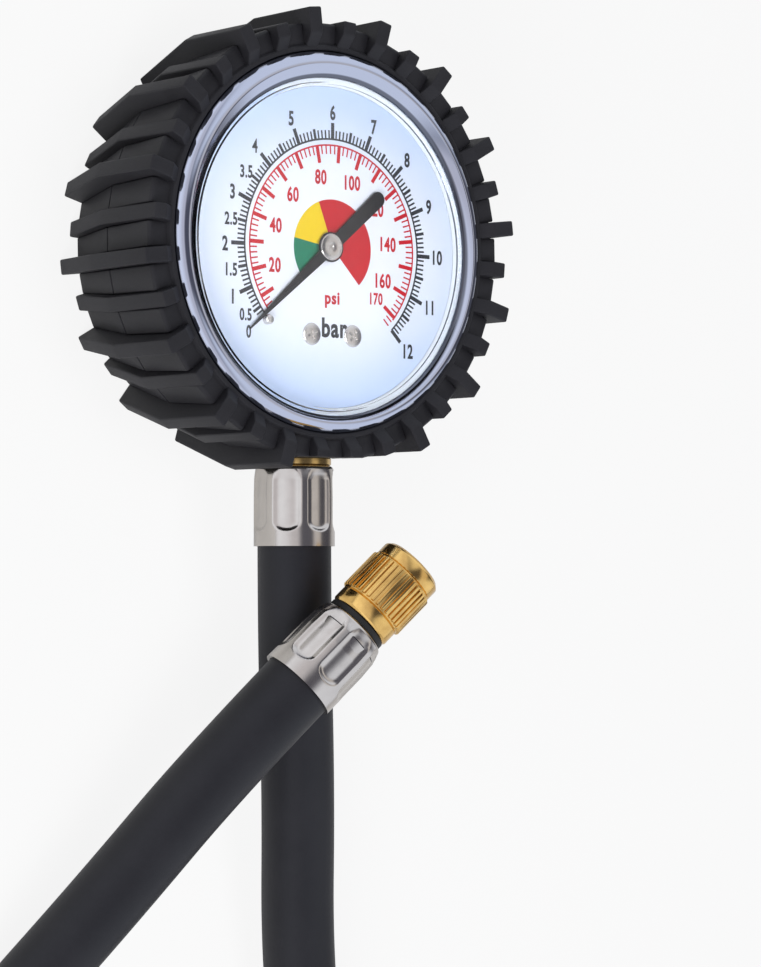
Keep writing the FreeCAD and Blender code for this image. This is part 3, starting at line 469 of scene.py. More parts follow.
def started(name):
    """Name the primitive that was just added."""
    piece = bpy.context.object
    piece.name = piece.data.name = name
    return piece


def open_up():
    """Enter edit mode with everything selected."""
    bpy.ops.object.mode_set(mode="EDIT")
    bpy.ops.mesh.select_all(action="SELECT")


def close_up(fill=False):
    """Fill open ends if asked to, point the faces outwards and leave edit mode."""
    bpy.ops.mesh.select_all(action="SELECT")
    if fill:
        bpy.ops.mesh.fill_holes(sides=0)
        bpy.ops.mesh.select_all(action="SELECT")
    bpy.ops.mesh.normals_make_consistent(inside=False)
    bpy.ops.object.mode_set(mode="OBJECT")


def applied(piece):
    """Put a piece's place into its mesh."""
    pick(piece)
    bpy.ops.object.transform_apply(location=True, rotation=True, scale=True)
    return piece


def placed(piece, matrix):
    """Lay a piece by a matrix, with its place in its mesh."""
    piece.matrix_world = matrix
    return applied(piece)


def ring_place(radius, height, share=0.0):
    """A ring's radius, and its centre in metres: share is 1 on the case's axis, 0 on the pointer's."""
    return radius, (CASE_CENTRE * share + UP * height) * MM


def stacked(name, rings, around=128, closed=False):
    """A turned piece: each (radius, height, share of the case's offset) ring is extruded from the last."""
    begin()
    radius, at = ring_place(*rings[0])
    bpy.ops.mesh.primitive_circle_add(vertices=around, radius=radius * MM, location=at)
    piece = applied(started(name))
    open_up()
    for ring in rings[1:]:
        wider, to = ring_place(*ring)
        bpy.ops.mesh.extrude_region_move(TRANSFORM_OT_translate={"value": to - at})
        grown = wider / radius
        bpy.ops.transform.resize(value=(grown, grown, 1), center_override=to)
        radius, at = wider, to
    if closed:
        bpy.ops.mesh.select_mode(type="EDGE")
        bpy.ops.mesh.select_all(action="DESELECT")
        bpy.ops.mesh.select_non_manifold()
        bpy.ops.mesh.bridge_edge_loops()
    close_up(fill=not closed)
    return piece


def cut_out(name, corners, push):
    """A flat outline of points in millimetres, extruded by a vector."""
    begin()
    bpy.ops.mesh.primitive_circle_add(vertices=len(corners), fill_type="NGON")
    piece = started(name)
    for vertex, corner in zip(piece.data.vertices, corners):
        vertex.co = Vector(corner) * MM
    open_up()
    bpy.ops.mesh.extrude_region_move(TRANSFORM_OT_translate={"value": Vector(push) * MM})
    close_up()
    return piece


def rectangle(left, near, right, far, height):
    """The corners of a level rectangle."""
    return [(left, near, height), (right, near, height), (right, far, height), (left, far, height)]


def softened(piece, width, segments=2, angle=28):
    """Round a piece's sharp edges and shade it."""
    pick(piece)
    bevel = piece.modifiers.new("Edges", "BEVEL")
    bevel.width = width * MM
    bevel.segments = segments
    bevel.limit_method = "ANGLE"
    bevel.angle_limit = math.radians(angle)
    bpy.ops.object.modifier_apply(modifier=bevel.name)
    return smoothed(piece)


def smoothed(piece, angle=32):
    """Shade a piece smooth where its faces meet at less than an angle."""
    pick(piece)
    bpy.ops.object.shade_smooth_by_angle(angle=math.radians(angle))
    return piece


def bored(piece, cutter):
    """Cut one piece by another."""
    pick(piece)
    cut = piece.modifiers.new("Bore", "BOOLEAN")
    cut.operation = "DIFFERENCE"
    cut.solver = "EXACT"
    cut.object = cutter
    bpy.ops.object.modifier_apply(modifier=cut.name)
    if not piece.data.polygons:
        raise RuntimeError(f"{cutter.name} cut all of {piece.name} away")
    return piece


def remove(*pieces):
    """Delete pieces that were only tools."""
    for piece in pieces:
        bpy.data.objects.remove(piece)


def joined(name, pieces):
    """Join pieces into one mesh."""
    begin()
    for piece in pieces:
        piece.select_set(True)
    bpy.context.view_layer.objects.active = pieces[0]
    bpy.ops.object.join()
    return applied(started(name))


def turned_copy(piece, degrees, centre):
    """A copy of a piece with its own mesh, turned about a vertical axis through centre."""
    twin = piece.copy()
    twin.data = piece.data.copy()
    bpy.context.collection.objects.link(twin)
    turn = Matrix.Rotation(math.radians(degrees), 4, "Z")
    twin.matrix_world = Matrix.Translation(centre * MM) @ turn
    return twin


def around_axis(piece, angles, centre=POINTER_AXIS):
    """Copies of a piece at these angles about a vertical axis. The first piece goes."""
    copies = [turned_copy(piece, angle, centre) for angle in angles]
    remove(piece)
    return copies


def arc(centre, radius, start, end, steps):
    """Points along an arc about a centre, from one angle in degrees to another."""
    turns = [math.radians(start + (end - start) * step / steps) for step in range(steps + 1)]
    return [(centre[0] + radius * math.cos(turn), centre[1] + radius * math.sin(turn)) for turn in turns]


def on_stem():
    """The matrix that lays what is built up the Z axis along the stem."""
    return Matrix.Translation(Vector((0, 0, STEM_Z)) * MM) @ Matrix.Rotation(math.radians(90), 4, "X")


def on_connector(back=False):
    """The matrix that lays what is built up the Z axis along the connector."""
    way = -CONNECTOR_WAY if back else CONNECTOR_WAY
    turn = UP.rotation_difference(way).to_matrix().to_4x4()
    return Matrix.Translation(CONNECTOR_FACE * MM) @ turn


def made(name):
    """A piece that an earlier step made."""
    if name not in bpy.data.objects:
        raise RuntimeError(f"The step that makes {name} comes first")
    return bpy.data.objects[name]


def finish_piece(piece, finish, slot, body, *nodes):
    """Give a piece its material, tie it to its body if it has one, and hide the imported nodes that it stands for.
    """
    if finish not in FINISHES:
        raise RuntimeError(f"The finishes come before {piece.name}")
    piece.data.materials.clear()
    piece.data.materials.append(FINISHES[finish])
    for polygon in getattr(piece.data, "polygons", []):
        polygon.material_index = 0
    if body:
        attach(piece, body)
    if nodes:
        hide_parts(*nodes)
    return piece


def turned(name, rings, around, angle, finish, slot, body, node, closed=False, matrix=None):
    """A turned piece, shaded, laid by a matrix if one is given, and finished."""
    piece = smoothed(stacked(name, rings, around, closed), angle)
    if matrix:
        placed(piece, matrix)
    return finish_piece(piece, finish, slot, body, node)


# Settings

def colour(name, description, default):
    """A colour that a user may change."""
    return FloatVectorProperty(
        name=name, description=description, default=default, subtype="COLOR", min=0, max=1)


def length(name, description, millimetres):
    """A length that a user may change, kept in metres."""
    return FloatProperty(
        name=name, description=description, default=millimetres * MM, unit="LENGTH", min=0, precision=5)


class GaugeColours(bpy.types.PropertyGroup):
    """Colours of the gauge's finishes."""

    rubber: colour("Boot", "Colour of the boot's rubber", (0.0155, 0.015, 0.018))
    hose: colour("Hose", "Colour of the hose's rubber", (0.0105, 0.0105, 0.014))
    chrome: colour("Bezel", "Colour of the bezel's plating", (0.5, 0.53, 0.64))
    steel: colour("Ferrules", "Colour of the ferrules' steel", (0.6, 0.56, 0.52))
    brass: colour("Nut", "Colour of the nut's brass", (0.92, 0.6, 0.2))
    dial: colour("Dial", "Colour of the dial's enamel", (0.88, 0.9, 0.95))
    # The rim colour is painted reflection and shade, darker and bluer than the dial's own enamel
    dial_rim_painted_shade: colour("Dial rim", "Colour of the dial's enamel at its rim", (0.56, 0.68, 0.92))
    red: colour("Red print", "Colour of the red scale and sector", (0.58, 0.003, 0.013))
    yellow: colour("Yellow print", "Colour of the yellow sector", (0.9, 0.62, 0.0))
    green: colour("Green print", "Colour of the green sector", (0.002, 0.19, 0.1))


class BootSizes(bpy.types.PropertyGroup):
    """Sizes of the boot."""

    ring: length("Ring", "Radius of the boot between its ribs", 39.6)
    tall: length("Tall rib", "Radius at the tall ribs' tips", 42.2)
    short: length("Short rib", "Radius at the short ribs' tips", 40.0)
    rib: length("Rib thickness", "Thickness of a rib", 2.8)
    crease: length("Crease", "Height where the ribs start to taper", 17.9)
    taper: length("Taper", "How far the back half draws in", 5.4)
    edge: length("Edge", "Rounding of the rubber's edges", 0.32)
    pairs: IntProperty(name="Rib pairs", description="Pairs of one tall and one short rib", default=16, min=1)
    first: FloatProperty(
        name="First rib", description="Angle of the first tall rib", default=math.radians(6.9), subtype="ANGLE")


class DialSizes(bpy.types.PropertyGroup):
    """Sizes of the dial's print."""

    black_arc: length("Black arc", "Radius of the outer scale's arc", 19.7)
    red_arc: length("Red arc", "Radius of the inner scale's arc", 18.6)
    sector: length("Sector", "Radius of the coloured sector", 8.8)
    digits: length("Digits", "Height of the numbers", 2.45)
    ink: length("Ink", "Thickness of the print", 0.02)


class CrimpSizes(bpy.types.PropertyGroup):
    """Sizes of the ferrules."""

    radius: length("Radius", "Radius of a ferrule", 7.4)
    length: length("Length", "Length of a ferrule", 14.6)
    depth: length("Depth", "Depth of a dent", 0.55)
    dents: IntProperty(name="Dents", description="Number of crimped dents", default=7, min=1)


# Operators

class GAUGE_OT_finishes(bpy.types.Operator):
    """Make the materials and give them to the parts that keep their shape"""

    bl_idname = "gauge.finishes"
    bl_label = "Finishes"

    def execute(self, context):
        FINISHES.update(all_finishes(context.scene.gauge_colours))
        for finish, nodes in CARRIED_OVER.items():
            for node in nodes:
                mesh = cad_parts[node].data
                mesh.materials.clear()
                mesh.materials.append(FINISHES[finish])
        return {"FINISHED"}


class GAUGE_OT_hose(bpy.types.Operator):
    """Lay the rubber hose on its route"""

    bl_idname = "gauge.hose"
    bl_label = "Hose"

    def execute(self, context):
        begin()
        end = CONNECTOR_FACE - CONNECTOR_WAY * FERRULE_FLANGE
        points = [Vector(point) for point in HOSE_POINTS]
        points += [end - CONNECTOR_WAY * HOSE_LAST_RUN, end]
        curve = bpy.data.curves.new("air_hose", "CURVE")
        curve.dimensions = "3D"
        spline = curve.splines.new("NURBS")
        spline.points.add(len(points) - 1)
        for control, point in zip(spline.points, points):
            control.co = (*(point * MM), 1)
        spline.order_u = 3
        spline.use_endpoint_u = True
        curve.resolution_u = 16
        curve.bevel_depth = HOSE_RADIUS * MM
        curve.bevel_resolution = 14
        curve.use_fill_caps = True
        hose = bpy.data.objects.new("air_hose", curve)
        context.collection.objects.link(hose)
        finish_piece(hose, "hose", "hose_rubber", "gauge", "hose")
        return {"FINISHED"}


class GAUGE_OT_boot(bpy.types.Operator):
    """Model the ribbed rubber boot"""

    bl_idname = "gauge.boot"
    bl_label = "Boot"

    # Where the ribs meet the bezel, half of a block's angle, and half of the seam between its two halves
    seat = 34.9
    block_half = math.radians(3.35)
    seam = 0.12

    def execute(self, context):
        sizes = context.scene.gauge_boot
        holes = [
            placed(stacked("stem_hole", [(6.9, 28), (6.9, 46)], 64), on_stem()),
            placed(stacked("ferrule_room", [(7.75, STEM_FACE - 0.35), (7.75, 48)], 64), on_stem()),
            cut_out("stem_flat", rectangle(-7.5, -37.9, 7.5, -50, -1), (0, 0, 40)),
        ]
        core = smoothed(self.core(sizes), 24)
        pieces = [core]
        pitch = 360 / sizes.pairs
        tall = [math.degrees(sizes.first) + index * pitch for index in range(sizes.pairs)]
        short = [angle + pitch / 2 for angle in tall]
        between = [angle + pitch * share for angle in tall for share in (0.25, 0.75)]
        pieces += around_axis(self.rib(sizes, sizes.tall / MM), tall, CASE_CENTRE)
        pieces += around_axis(self.rib(sizes, sizes.short / MM), short, CASE_CENTRE)
        for block in self.blocks(sizes):
            pieces += around_axis(block, between, CASE_CENTRE)
        for piece in pieces:
            if piece == core or self.near_stem(piece):
                applied(piece)
                for hole in holes:
                    bored(piece, hole)
        remove(*holes)
        finish_piece(joined("ribbed_boot", pieces), "boot", "boot_rubber", "gauge", "rubber_boot")
        return {"FINISHED"}

    def near_stem(self, piece):
        """True for a copy that points roughly at 6 o'clock."""
        facing = piece.matrix_world.to_quaternion() @ Vector((1, 0, 0))
        return facing.y < -0.9

    def core(self, sizes):
        """The cup behind the blocks, with its lip round the bezel."""
        ring = sizes.ring / MM
        rings = [
            (3.0, 0.0), (31.4, 0.0), (32.3, 0.4), (ring - 1.9, sizes.crease / MM), (ring - 0.9, 32.0),
            (ring - 1.2, 32.25), (35.9, 32.35), (35.5, 32.95), (35.25, 33.1), (34.75, 33.1), (34.56, 32.95),
            (34.55, 27.2), (31.55, 27.2), (31.55, 3.5), (3.0, 3.5),
        ]
        return stacked("boot_core", [(radius, height, 1) for radius, height in rings], 192)

    def rib(self, sizes, tip):
        """One rib, pointing along +X: flat in front, with a tapered back half."""
        thick = sizes.rib / MM
        outline = [
            (31.0, self.seam), (tip - sizes.taper / MM, self.seam), (tip, sizes.crease / MM), (tip, BOOT_TOP),
            (37.6, BOOT_TOP), (35.6, 33.2), (self.seat, 32.9), (self.seat, 25.0), (31.8, 25.0),
        ]
        corners = [(radius, -thick / 2, height) for radius, height in outline]
        return softened(cut_out("rib", corners, (0, thick, 0)), sizes.edge / MM, 3)

    def blocks(self, sizes):
        """The front and back block between two ribs, pointing along +X."""
        ring = sizes.ring / MM
        crease = sizes.crease / MM
        waist = ring - 1.2
        front = [
            (34.6, crease + self.seam), (ring - 1.15, crease + self.seam), (ring, 32.1), (ring - 0.5, 32.6),
            (self.seat, 32.35),
        ]
        back = [
            (28.0, 0.3), (waist - sizes.taper / MM, 0.3), (waist, crease - self.seam), (28.0, crease - self.seam),
        ]
        blocks = []
        for outline in (front, back):
            block = cut_out("block", [(radius, -1, height) for radius, height in outline], (0, 2, 0))
            for vertex in block.data.vertices:
                vertex.co.y = math.copysign(vertex.co.x * math.tan(self.block_half), vertex.co.y)
            blocks.append(softened(block, sizes.edge / MM, 3))
        return blocks


class GAUGE_OT_bezel(bpy.types.Operator):
    """Model the bright bezel ring"""

    bl_idname = "gauge.bezel"
    bl_label = "Bezel"

    def execute(self, context):
        top = BEZEL_TOP
        outer = 34.5
        roll = 2.15
        steps = 18
        rings = [(31.6, 27.5, 1), (outer - 0.1, 27.5, 1), (outer, 27.6, 1)]
        for step, ring in enumerate(arc((outer - roll, top - roll), roll, 0, 90, steps)):
            rings.append((*ring, 1 - 0.25 * step / steps))
        rings += [
            (32.25, top - 0.02, 0.7), (32.15, top - 0.08, 0.68), (31.15, top - 1.08, 0.2), (31.0, top - 1.2, 0.1),
            (30.85, top - 1.28, 0), (30.58, top - 1.4, 0), (30.52, top - 1.45, 0), (30.5, top - 1.52, 0),
            (30.5, top - 2.12, 0), (31.15, top - 2.12, 0), (31.15, 30.95, 0), (32.6, 30.95, 1), (32.6, 28.3, 1),
            (31.6, 28.3, 1),
        ]
        turned("bezel", rings, 256, 40, "chrome", "bezel_chrome", "gauge", "bezel_ring", closed=True)
        return {"FINISHED"}


class GAUGE_OT_lens(bpy.types.Operator):
    """Model the stepped lens and the white gasket under it"""

    bl_idname = "gauge.lens"
    bl_label = "Lens"

    def execute(self, context):
        top = LENS_TOP
        under = top - 1.3
        rings = [
            (3.0, under), (28.9, under), (29.3, under - 0.12), (29.35, top - 1.85), (29.5, top - 1.9),
            (31.05, top - 1.9), (31.12, top - 1.85), (31.12, top - 1.38), (30.5, top - 1.36), (30.44, top - 1.3),
            (30.44, top - 0.95), (30.38, top - 0.8), (29.6, top - 0.06), (29.4, top), (3.0, top),
        ]
        turned("lens_window", rings, 192, 40, "lens", "clear_lens", "gauge", "lens")
        seat = DIAL_TOP
        rings = [
            (29.06, seat - 0.15), (29.06, seat + 0.12), (29.2, seat + 0.22), (30.0, seat + 0.3),
            (30.12, seat + 0.4), (30.14, seat + 0.66), (30.2, seat + 0.69), (31.08, seat + 0.69),
            (31.08, seat - 0.19), (30.2, seat - 0.19),
        ]
        turned("white_gasket", rings, 192, 40, "gasket", "seal_rubber", "gauge", "lens_gasket", closed=True)
        return {"FINISHED"}


class GAUGE_OT_dial_print(bpy.types.Operator):
    """Print the two scales, the numbers and the coloured sector on the dial"""

    bl_idname = "gauge.dial_print"
    bl_label = "Dial print"

    low = DIAL_TOP + 0.005

    def execute(self, context):
        sizes = context.scene.gauge_dial
        self.ink = sizes.ink / MM
        self.digits = sizes.digits / MM
        inner = sizes.black_arc / MM
        black = [self.band(inner - 0.17, inner + 0.17, -46.1, 218.9)]
        for kind, outer, width in BAR_MARKS:
            black += self.ticks(self.bar_marks(kind), inner, outer, width)
        black += [self.word(*row) for row in BLACK_NUMBERS]
        black.append(self.word("bar", 1.2, -14.5, 1.35, 0.84))
        finish_piece(joined("black_scale", black), "black_ink", "dial_white", "gauge")
        outer = sizes.red_arc / MM
        red = [self.band(outer - 0.15, outer + 0.15, -41.5, 219.0)]
        red += self.ticks([self.psi_angle(psi) for psi in range(4, 175, 2) if psi % 10], 17.0, outer, 0.28)
        red += self.ticks([self.psi_angle(psi) for psi in range(10, 171, 10)], 15.5, outer, 0.72)
        red += [self.word(*row) for row in RED_NUMBERS]
        red.append(self.word("psi", 0.8, -9.5, 0.88, 0.92))
        finish_piece(joined("red_scale", red), "red_ink", "dial_white", "gauge")
        for colour_name, start, end in SECTORS:
            wedge = self.band(2.2, sizes.sector / MM, start, end)
            wedge.name = wedge.data.name = colour_name + "_sector"
            finish_piece(applied(wedge), colour_name + "_ink", "dial_white", "gauge")
        return {"FINISHED"}

    def bar_angle(self, bar):
        """The scale's angle at a pressure in bar."""
        return 226.3 - 22.7 * bar

    def psi_angle(self, psi):
        """The scale's angle at a pressure in pounds per square inch."""
        return self.bar_angle(psi / PSI_PER_BAR)

    def bar_marks(self, kind):
        """Angles of the outer scale's marks whose coarsest division is this one."""
        marks = []
        for tenth in range(3, 121):
            division = 1 if tenth % 10 == 0 else 0.5 if tenth % 5 == 0 else 0.1
            if division == kind:
                marks.append(self.bar_angle(tenth / 10))
        return marks

    def ticks(self, angles, inner, outer, width):
        """Marks at these angles."""
        corners = rectangle(inner, -width / 2, outer, width / 2, self.low)
        return around_axis(cut_out("mark", corners, (0, 0, self.ink)), angles, DIAL_CENTRE)

    def band(self, inner, outer, start, end):
        """A flat arc between two radii and two angles."""
        steps = max(8, int(abs(end - start) / 2))
        rim = arc(DIAL_CENTRE, outer, start, end, steps) + arc(DIAL_CENTRE, inner, end, start, steps)
        return cut_out("arc", [(*point, self.low - 0.003) for point in rim], (0, 0, self.ink))

    def word(self, text, x, y, share=1.0, narrow=0.7):
        """Upright words centred at a place on the dial, their height a share of the digits'."""
        height = self.digits * share
        begin()
        bpy.ops.object.text_add()
        letters = bpy.context.object
        letters.data.body = text
        letters.data.size = height / 0.69 * MM
        letters.data.align_x = "CENTER"
        letters.data.align_y = "CENTER"
        letters.data.space_character = 1.1
        letters.data.offset = (0.02 if text == "4" else 0.045) * height * MM
        letters.data.extrude = self.ink / 2 * MM
        letters.data.resolution_u = 4
        pick(letters)
        bpy.ops.object.convert(target="MESH")
        letters = bpy.context.object
        levels = [vertex.co.y for vertex in letters.data.vertices]
        middle = (min(levels) + max(levels)) / 2
        letters.scale = (narrow, 1, 1)
        letters.location = Vector((x * MM, y * MM - middle, (self.low + self.ink / 2) * MM))
        return applied(letters)


class GAUGE_OT_pointer(bpy.types.Operator):
    """Model the pointer with its bright hub cap and stop pin"""

    bl_idname = "gauge.pointer"
    bl_label = "Pointer"

    def execute(self, context):
        low = DIAL_TOP + 0.55
        club = arc((-14.25, 0), 1.45, 270, 90, 16)
        corners = [(23.8, 0.14), (24.0, 0.0), (23.8, -0.14), (0, -1.2), *club, (0, 1.2)]
        blade = softened(cut_out("blade", [(x, y, low) for x, y in corners], (0, 0, 0.25)), 0.06, 2, 40)
        blade = around_axis(blade, [REST_ANGLE])[0]
        hub = smoothed(stacked("hub", [(2.6, low), (2.72, low + 0.05), (2.72, low + 0.24), (2.64, low + 0.28)], 96))
        pointer = joined("needle", [applied(blade), hub])
        finish_piece(pointer, "pointer", "pointer_black", "pointer", "pointer")
        base = low + 0.25
        rings = [
            (2.37, base), (2.42, base + 0.03), (2.42, HUB_TOP - 0.09), (2.34, HUB_TOP - 0.01), (2.2, HUB_TOP),
            (2.05, HUB_TOP - 0.06), (0.8, HUB_TOP - 0.06), (0.65, HUB_TOP - 0.02), (0.4, HUB_TOP - 0.02),
            (0.3, HUB_TOP - 0.14), (0.08, HUB_TOP - 0.16),
        ]
        turned("hub_cap", rings, 96, 30, "bright", "screw_steel", "pointer", "pointer_hub_cap")
        low_corner, high_corner = [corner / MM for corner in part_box("stop_pin")]
        at = (low_corner + high_corner) / 2
        at.z = 0
        foot, top = low_corner.z, high_corner.z
        rings = [(0.9, foot), (0.9, top - 0.25), (0.8, top - 0.08), (0.6, top)]
        place = Matrix.Translation(at * MM)
        turned("stop_post", rings, 48, 32, "bright", "screw_steel", "gauge", "stop_pin", matrix=place)
        return {"FINISHED"}


class GAUGE_OT_pressure_tube(bpy.types.Operator):
    """Model the curved pressure tube"""

    bl_idname = "gauge.pressure_tube"
    bl_label = "Pressure tube"

    def execute(self, context):
        begin()
        bpy.ops.mesh.primitive_circle_add(vertices=32)
        tube = started("pressure_tube")
        for vertex in tube.data.vertices:
            across = TUBE_THICK / 2 * vertex.co.x
            up = TUBE_THICK / 2 * vertex.co.y + math.copysign((TUBE_TALL - TUBE_THICK) / 2, vertex.co.y)
            vertex.co = Vector((TUBE_RADIUS + across, 0, TUBE_Z + up)) * MM
        open_up()
        first, last = (math.radians(angle) for angle in TUBE_ENDS)
        bpy.ops.mesh.spin(steps=136, angle=first - last, center=(0, 0, 0), axis=(0, 0, 1))
        close_up(fill=True)
        tube.rotation_euler.z = first
        finish_piece(smoothed(applied(tube), 40), "bronze", "tube_bronze", None, "bourdon_tube")
        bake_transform(tube)
        return {"FINISHED"}


class GAUGE_OT_dial_screws(bpy.types.Operator):
    """Model the two domed screws through the dial"""

    bl_idname = "gauge.dial_screws"
    bl_label = "Dial screws"

    # Each screw's place along X and its slot's angle, and the place of both along Y
    places = ((-3.85, 20), (5.5, 55))
    row = -15.8

    def execute(self, context):
        screws = [self.screw(x, turn) for x, turn in self.places]
        finish_piece(joined("dial_fixings", screws), "bright", "screw_steel", "gauge", "dial_screws")
        return {"FINISHED"}

    def screw(self, x, turn):
        """One screw with a cross slot, turned by degrees."""
        seat = DIAL_TOP
        top = node_top("dial_screws")
        edge = seat + 0.06
        steepest = 77
        rings = [(1.0, seat - 5.0), (1.0, seat), (1.98, seat), (2.0, edge)]
        for degrees in range(11, steepest + 1, 11):
            angle = math.radians(degrees)
            lift = (top - seat - 0.06) * math.sin(angle) / math.sin(math.radians(steepest))
            rings.append((2.0 * math.cos(angle), edge + lift))
        screw = stacked("screw", rings, 72)
        for degrees in (turn, turn + 90):
            slot = cut_out("slot", rectangle(-1.1, -0.22, 1.1, 0.22, top - 0.2), (0, 0, 1))
            bored(screw, placed(slot, Matrix.Rotation(math.radians(degrees), 4, "Z")))
            remove(slot)
        return placed(softened(screw, 0.04, 2, 40), Matrix.Translation(Vector((x, self.row, 0)) * MM))


class GAUGE_OT_ferrules(bpy.types.Operator):
    """Model the two crimped ferrules and the brass collar"""

    bl_idname = "gauge.ferrules"
    bl_label = "Ferrules"

    # A dent's middle and half length up the ferrule, the slope of its end, and its share of the pitch
    dent_middle = 6.4
    dent_reach = 3.7
    dent_end = 1.9
    dent_width = 0.84
    bore_limit = 6.83

    def execute(self, context):
        sizes = context.scene.gauge_crimp
        lift = Matrix.Translation(Vector((0, 0, STEM_FACE)) * MM)
        gauge_end = placed(self.ferrule(sizes, "crimp_at_gauge", 0.25, 35.7), on_stem() @ lift)
        finish_piece(gauge_end, "ferrule", "ferrule_steel", "gauge", "ferrule_gauge_end")
        connector_end = placed(self.ferrule(sizes, "crimp_at_connector", 0.8, 0.0), on_connector(back=True))
        finish_piece(connector_end, "ferrule", "ferrule_steel", "gauge", "ferrule_connector_end")
        rings = [
            (1.7, 31.5), (3.3, 31.5), (3.35, 37.7), (6.4, 37.7), (6.7, 38.0), (6.7, 39.0), (6.4, 39.28),
            (3.2, 39.3), (3.2, 52.6), (1.7, 52.6),
        ]
        turned("stem_collar", rings, 96, 32, "brass", "brass", "gauge", "hose_tail", True, on_stem())
        return {"FINISHED"}

    def ferrule(self, sizes, name, neck, first):
        """A ferrule up the Z axis, its neck at 0, with a ring of long dents pressed into it."""
        full = sizes.radius / MM
        tall = sizes.length / MM
        roll = 0.75
        shoulder = 2.4
        steps = 56
        rings = arc((full - neck - roll, roll), roll, -90, 0, 6)
        rings += [(full - neck * 0.6, 1.5), (full - neck * 0.25, shoulder)]
        for step in range(1, steps + 1):
            share = step / steps
            height = shoulder + (tall - shoulder) * share
            rings.append((full - neck * 0.25 * max(0.0, 1 - share * 4), height))
        rings += [(full - 0.1, tall), (6.78, tall), (6.77, 2.6), (3.35, 2.5), (3.35, 0.02)]
        shell = stacked(name, rings, 240, closed=True)
        for vertex in shell.data.vertices:
            self.press(vertex, sizes, first)
        return smoothed(shell, 50)

    def press(self, vertex, sizes, first):
        """Push an outer vertex in where a dent is."""
        radius = math.hypot(vertex.co.x, vertex.co.y) / MM
        if radius < self.bore_limit:
            return
        pitch = 360 / sizes.dents
        angle = math.degrees(math.atan2(vertex.co.y, vertex.co.x)) - first
        across = ((angle / pitch + 0.5) % 1 - 0.5) * 2
        height = vertex.co.z / MM
        along = max(0.0, abs(height - self.dent_middle) - self.dent_reach) / self.dent_end
        away = math.hypot(abs(across) / self.dent_width, along)
        if away >= 1:
            return
        share = 1 - away ** 3.2
        share = share * share * (3 - 2 * share)
        pull = 1 - sizes.depth / MM * share / radius
        vertex.co.x *= pull
        vertex.co.y *= pull


class GAUGE_OT_connector(bpy.types.Operator):
    """Model the knurled nut and the washer behind it"""

    bl_idname = "gauge.connector"
    bl_label = "Connector"

    ridges = 36

    def execute(self, context):
        start = 1.35
        low = start + 3.0
        high = low + 8.4
        end = start + 14.5
        rings = [
            (2.46, start), (5.75, start), (6.1, start + 0.35), (6.15, start + 0.45), (6.15, low - 0.3),
            (6.0, low - 0.05), (6.2, low + 0.05), (6.28, low + 0.3), (6.28, high - 0.3), (6.2, high),
            (6.0, high + 0.1), (6.2, high + 0.3), (6.2, end - 0.8), (6.12, end - 0.65), (5.5, end - 0.04),
            (5.35, end), (4.05, end), (3.62, end - 0.4), (3.62, end - 7.9), (3.9, end - 7.9), (3.9, start + 2.8),
            (2.46, start + 2.8),
        ]
        body = smoothed(stacked("nut_body", rings, 144, closed=True), 30)
        turns = [360 / self.ridges * index for index in range(self.ridges)]
        ridges = around_axis(self.ridge(low + 0.08, high - 0.02), turns)
        nut = placed(joined("knurled_nut", [body] + ridges), on_connector())
        finish_piece(nut, "nut", "nut_brass", "nut", "swivel_nut")
        rings = [
            (2.45, 0.5), (5.5, 0.5), (5.5, 0.06), (5.85, 0.06), (5.95, 0.16), (5.95, 1.05), (5.85, 1.2),
            (5.6, 1.25), (2.45, 1.1),
        ]
        look = ("washer", "washer_black", "gauge", "dust_washer")
        turned("back_washer", rings, 96, 32, *look, closed=True, matrix=on_connector())
        return {"FINISHED"}

    def ridge(self, low, high):
        """One ridge of the knurl, pointing along +X, narrower at its crest."""
        corners = [(5.9, -0.36, low), (6.65, -0.24, low + 0.3), (6.65, -0.24, high - 0.3), (5.9, -0.36, high)]
        ridge = cut_out("ridge", corners, (0, 0.001, 0))
        far_side = ridge.data.vertices[len(corners):]
        for vertex, corner in zip(far_side, corners):
            vertex.co.y = abs(corner[1]) * MM
        return softened(ridge, 0.07, 2)


class GAUGE_OT_declare_hose(bpy.types.Operator):
    """Look up the pieces on the hose; nothing more is done with them"""

    bl_idname = "gauge.declare_hose"
    bl_label = "Declare hose"

    def execute(self, context):
        pieces = [made(name) for name in ("crimp_at_gauge", "crimp_at_connector", "knurled_nut", "back_washer")]
        pieces += [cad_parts[name] for name in (
            "connector_stem", "retaining_ring", "nut_seal", "depressor_pin")]
        return {"FINISHED"}


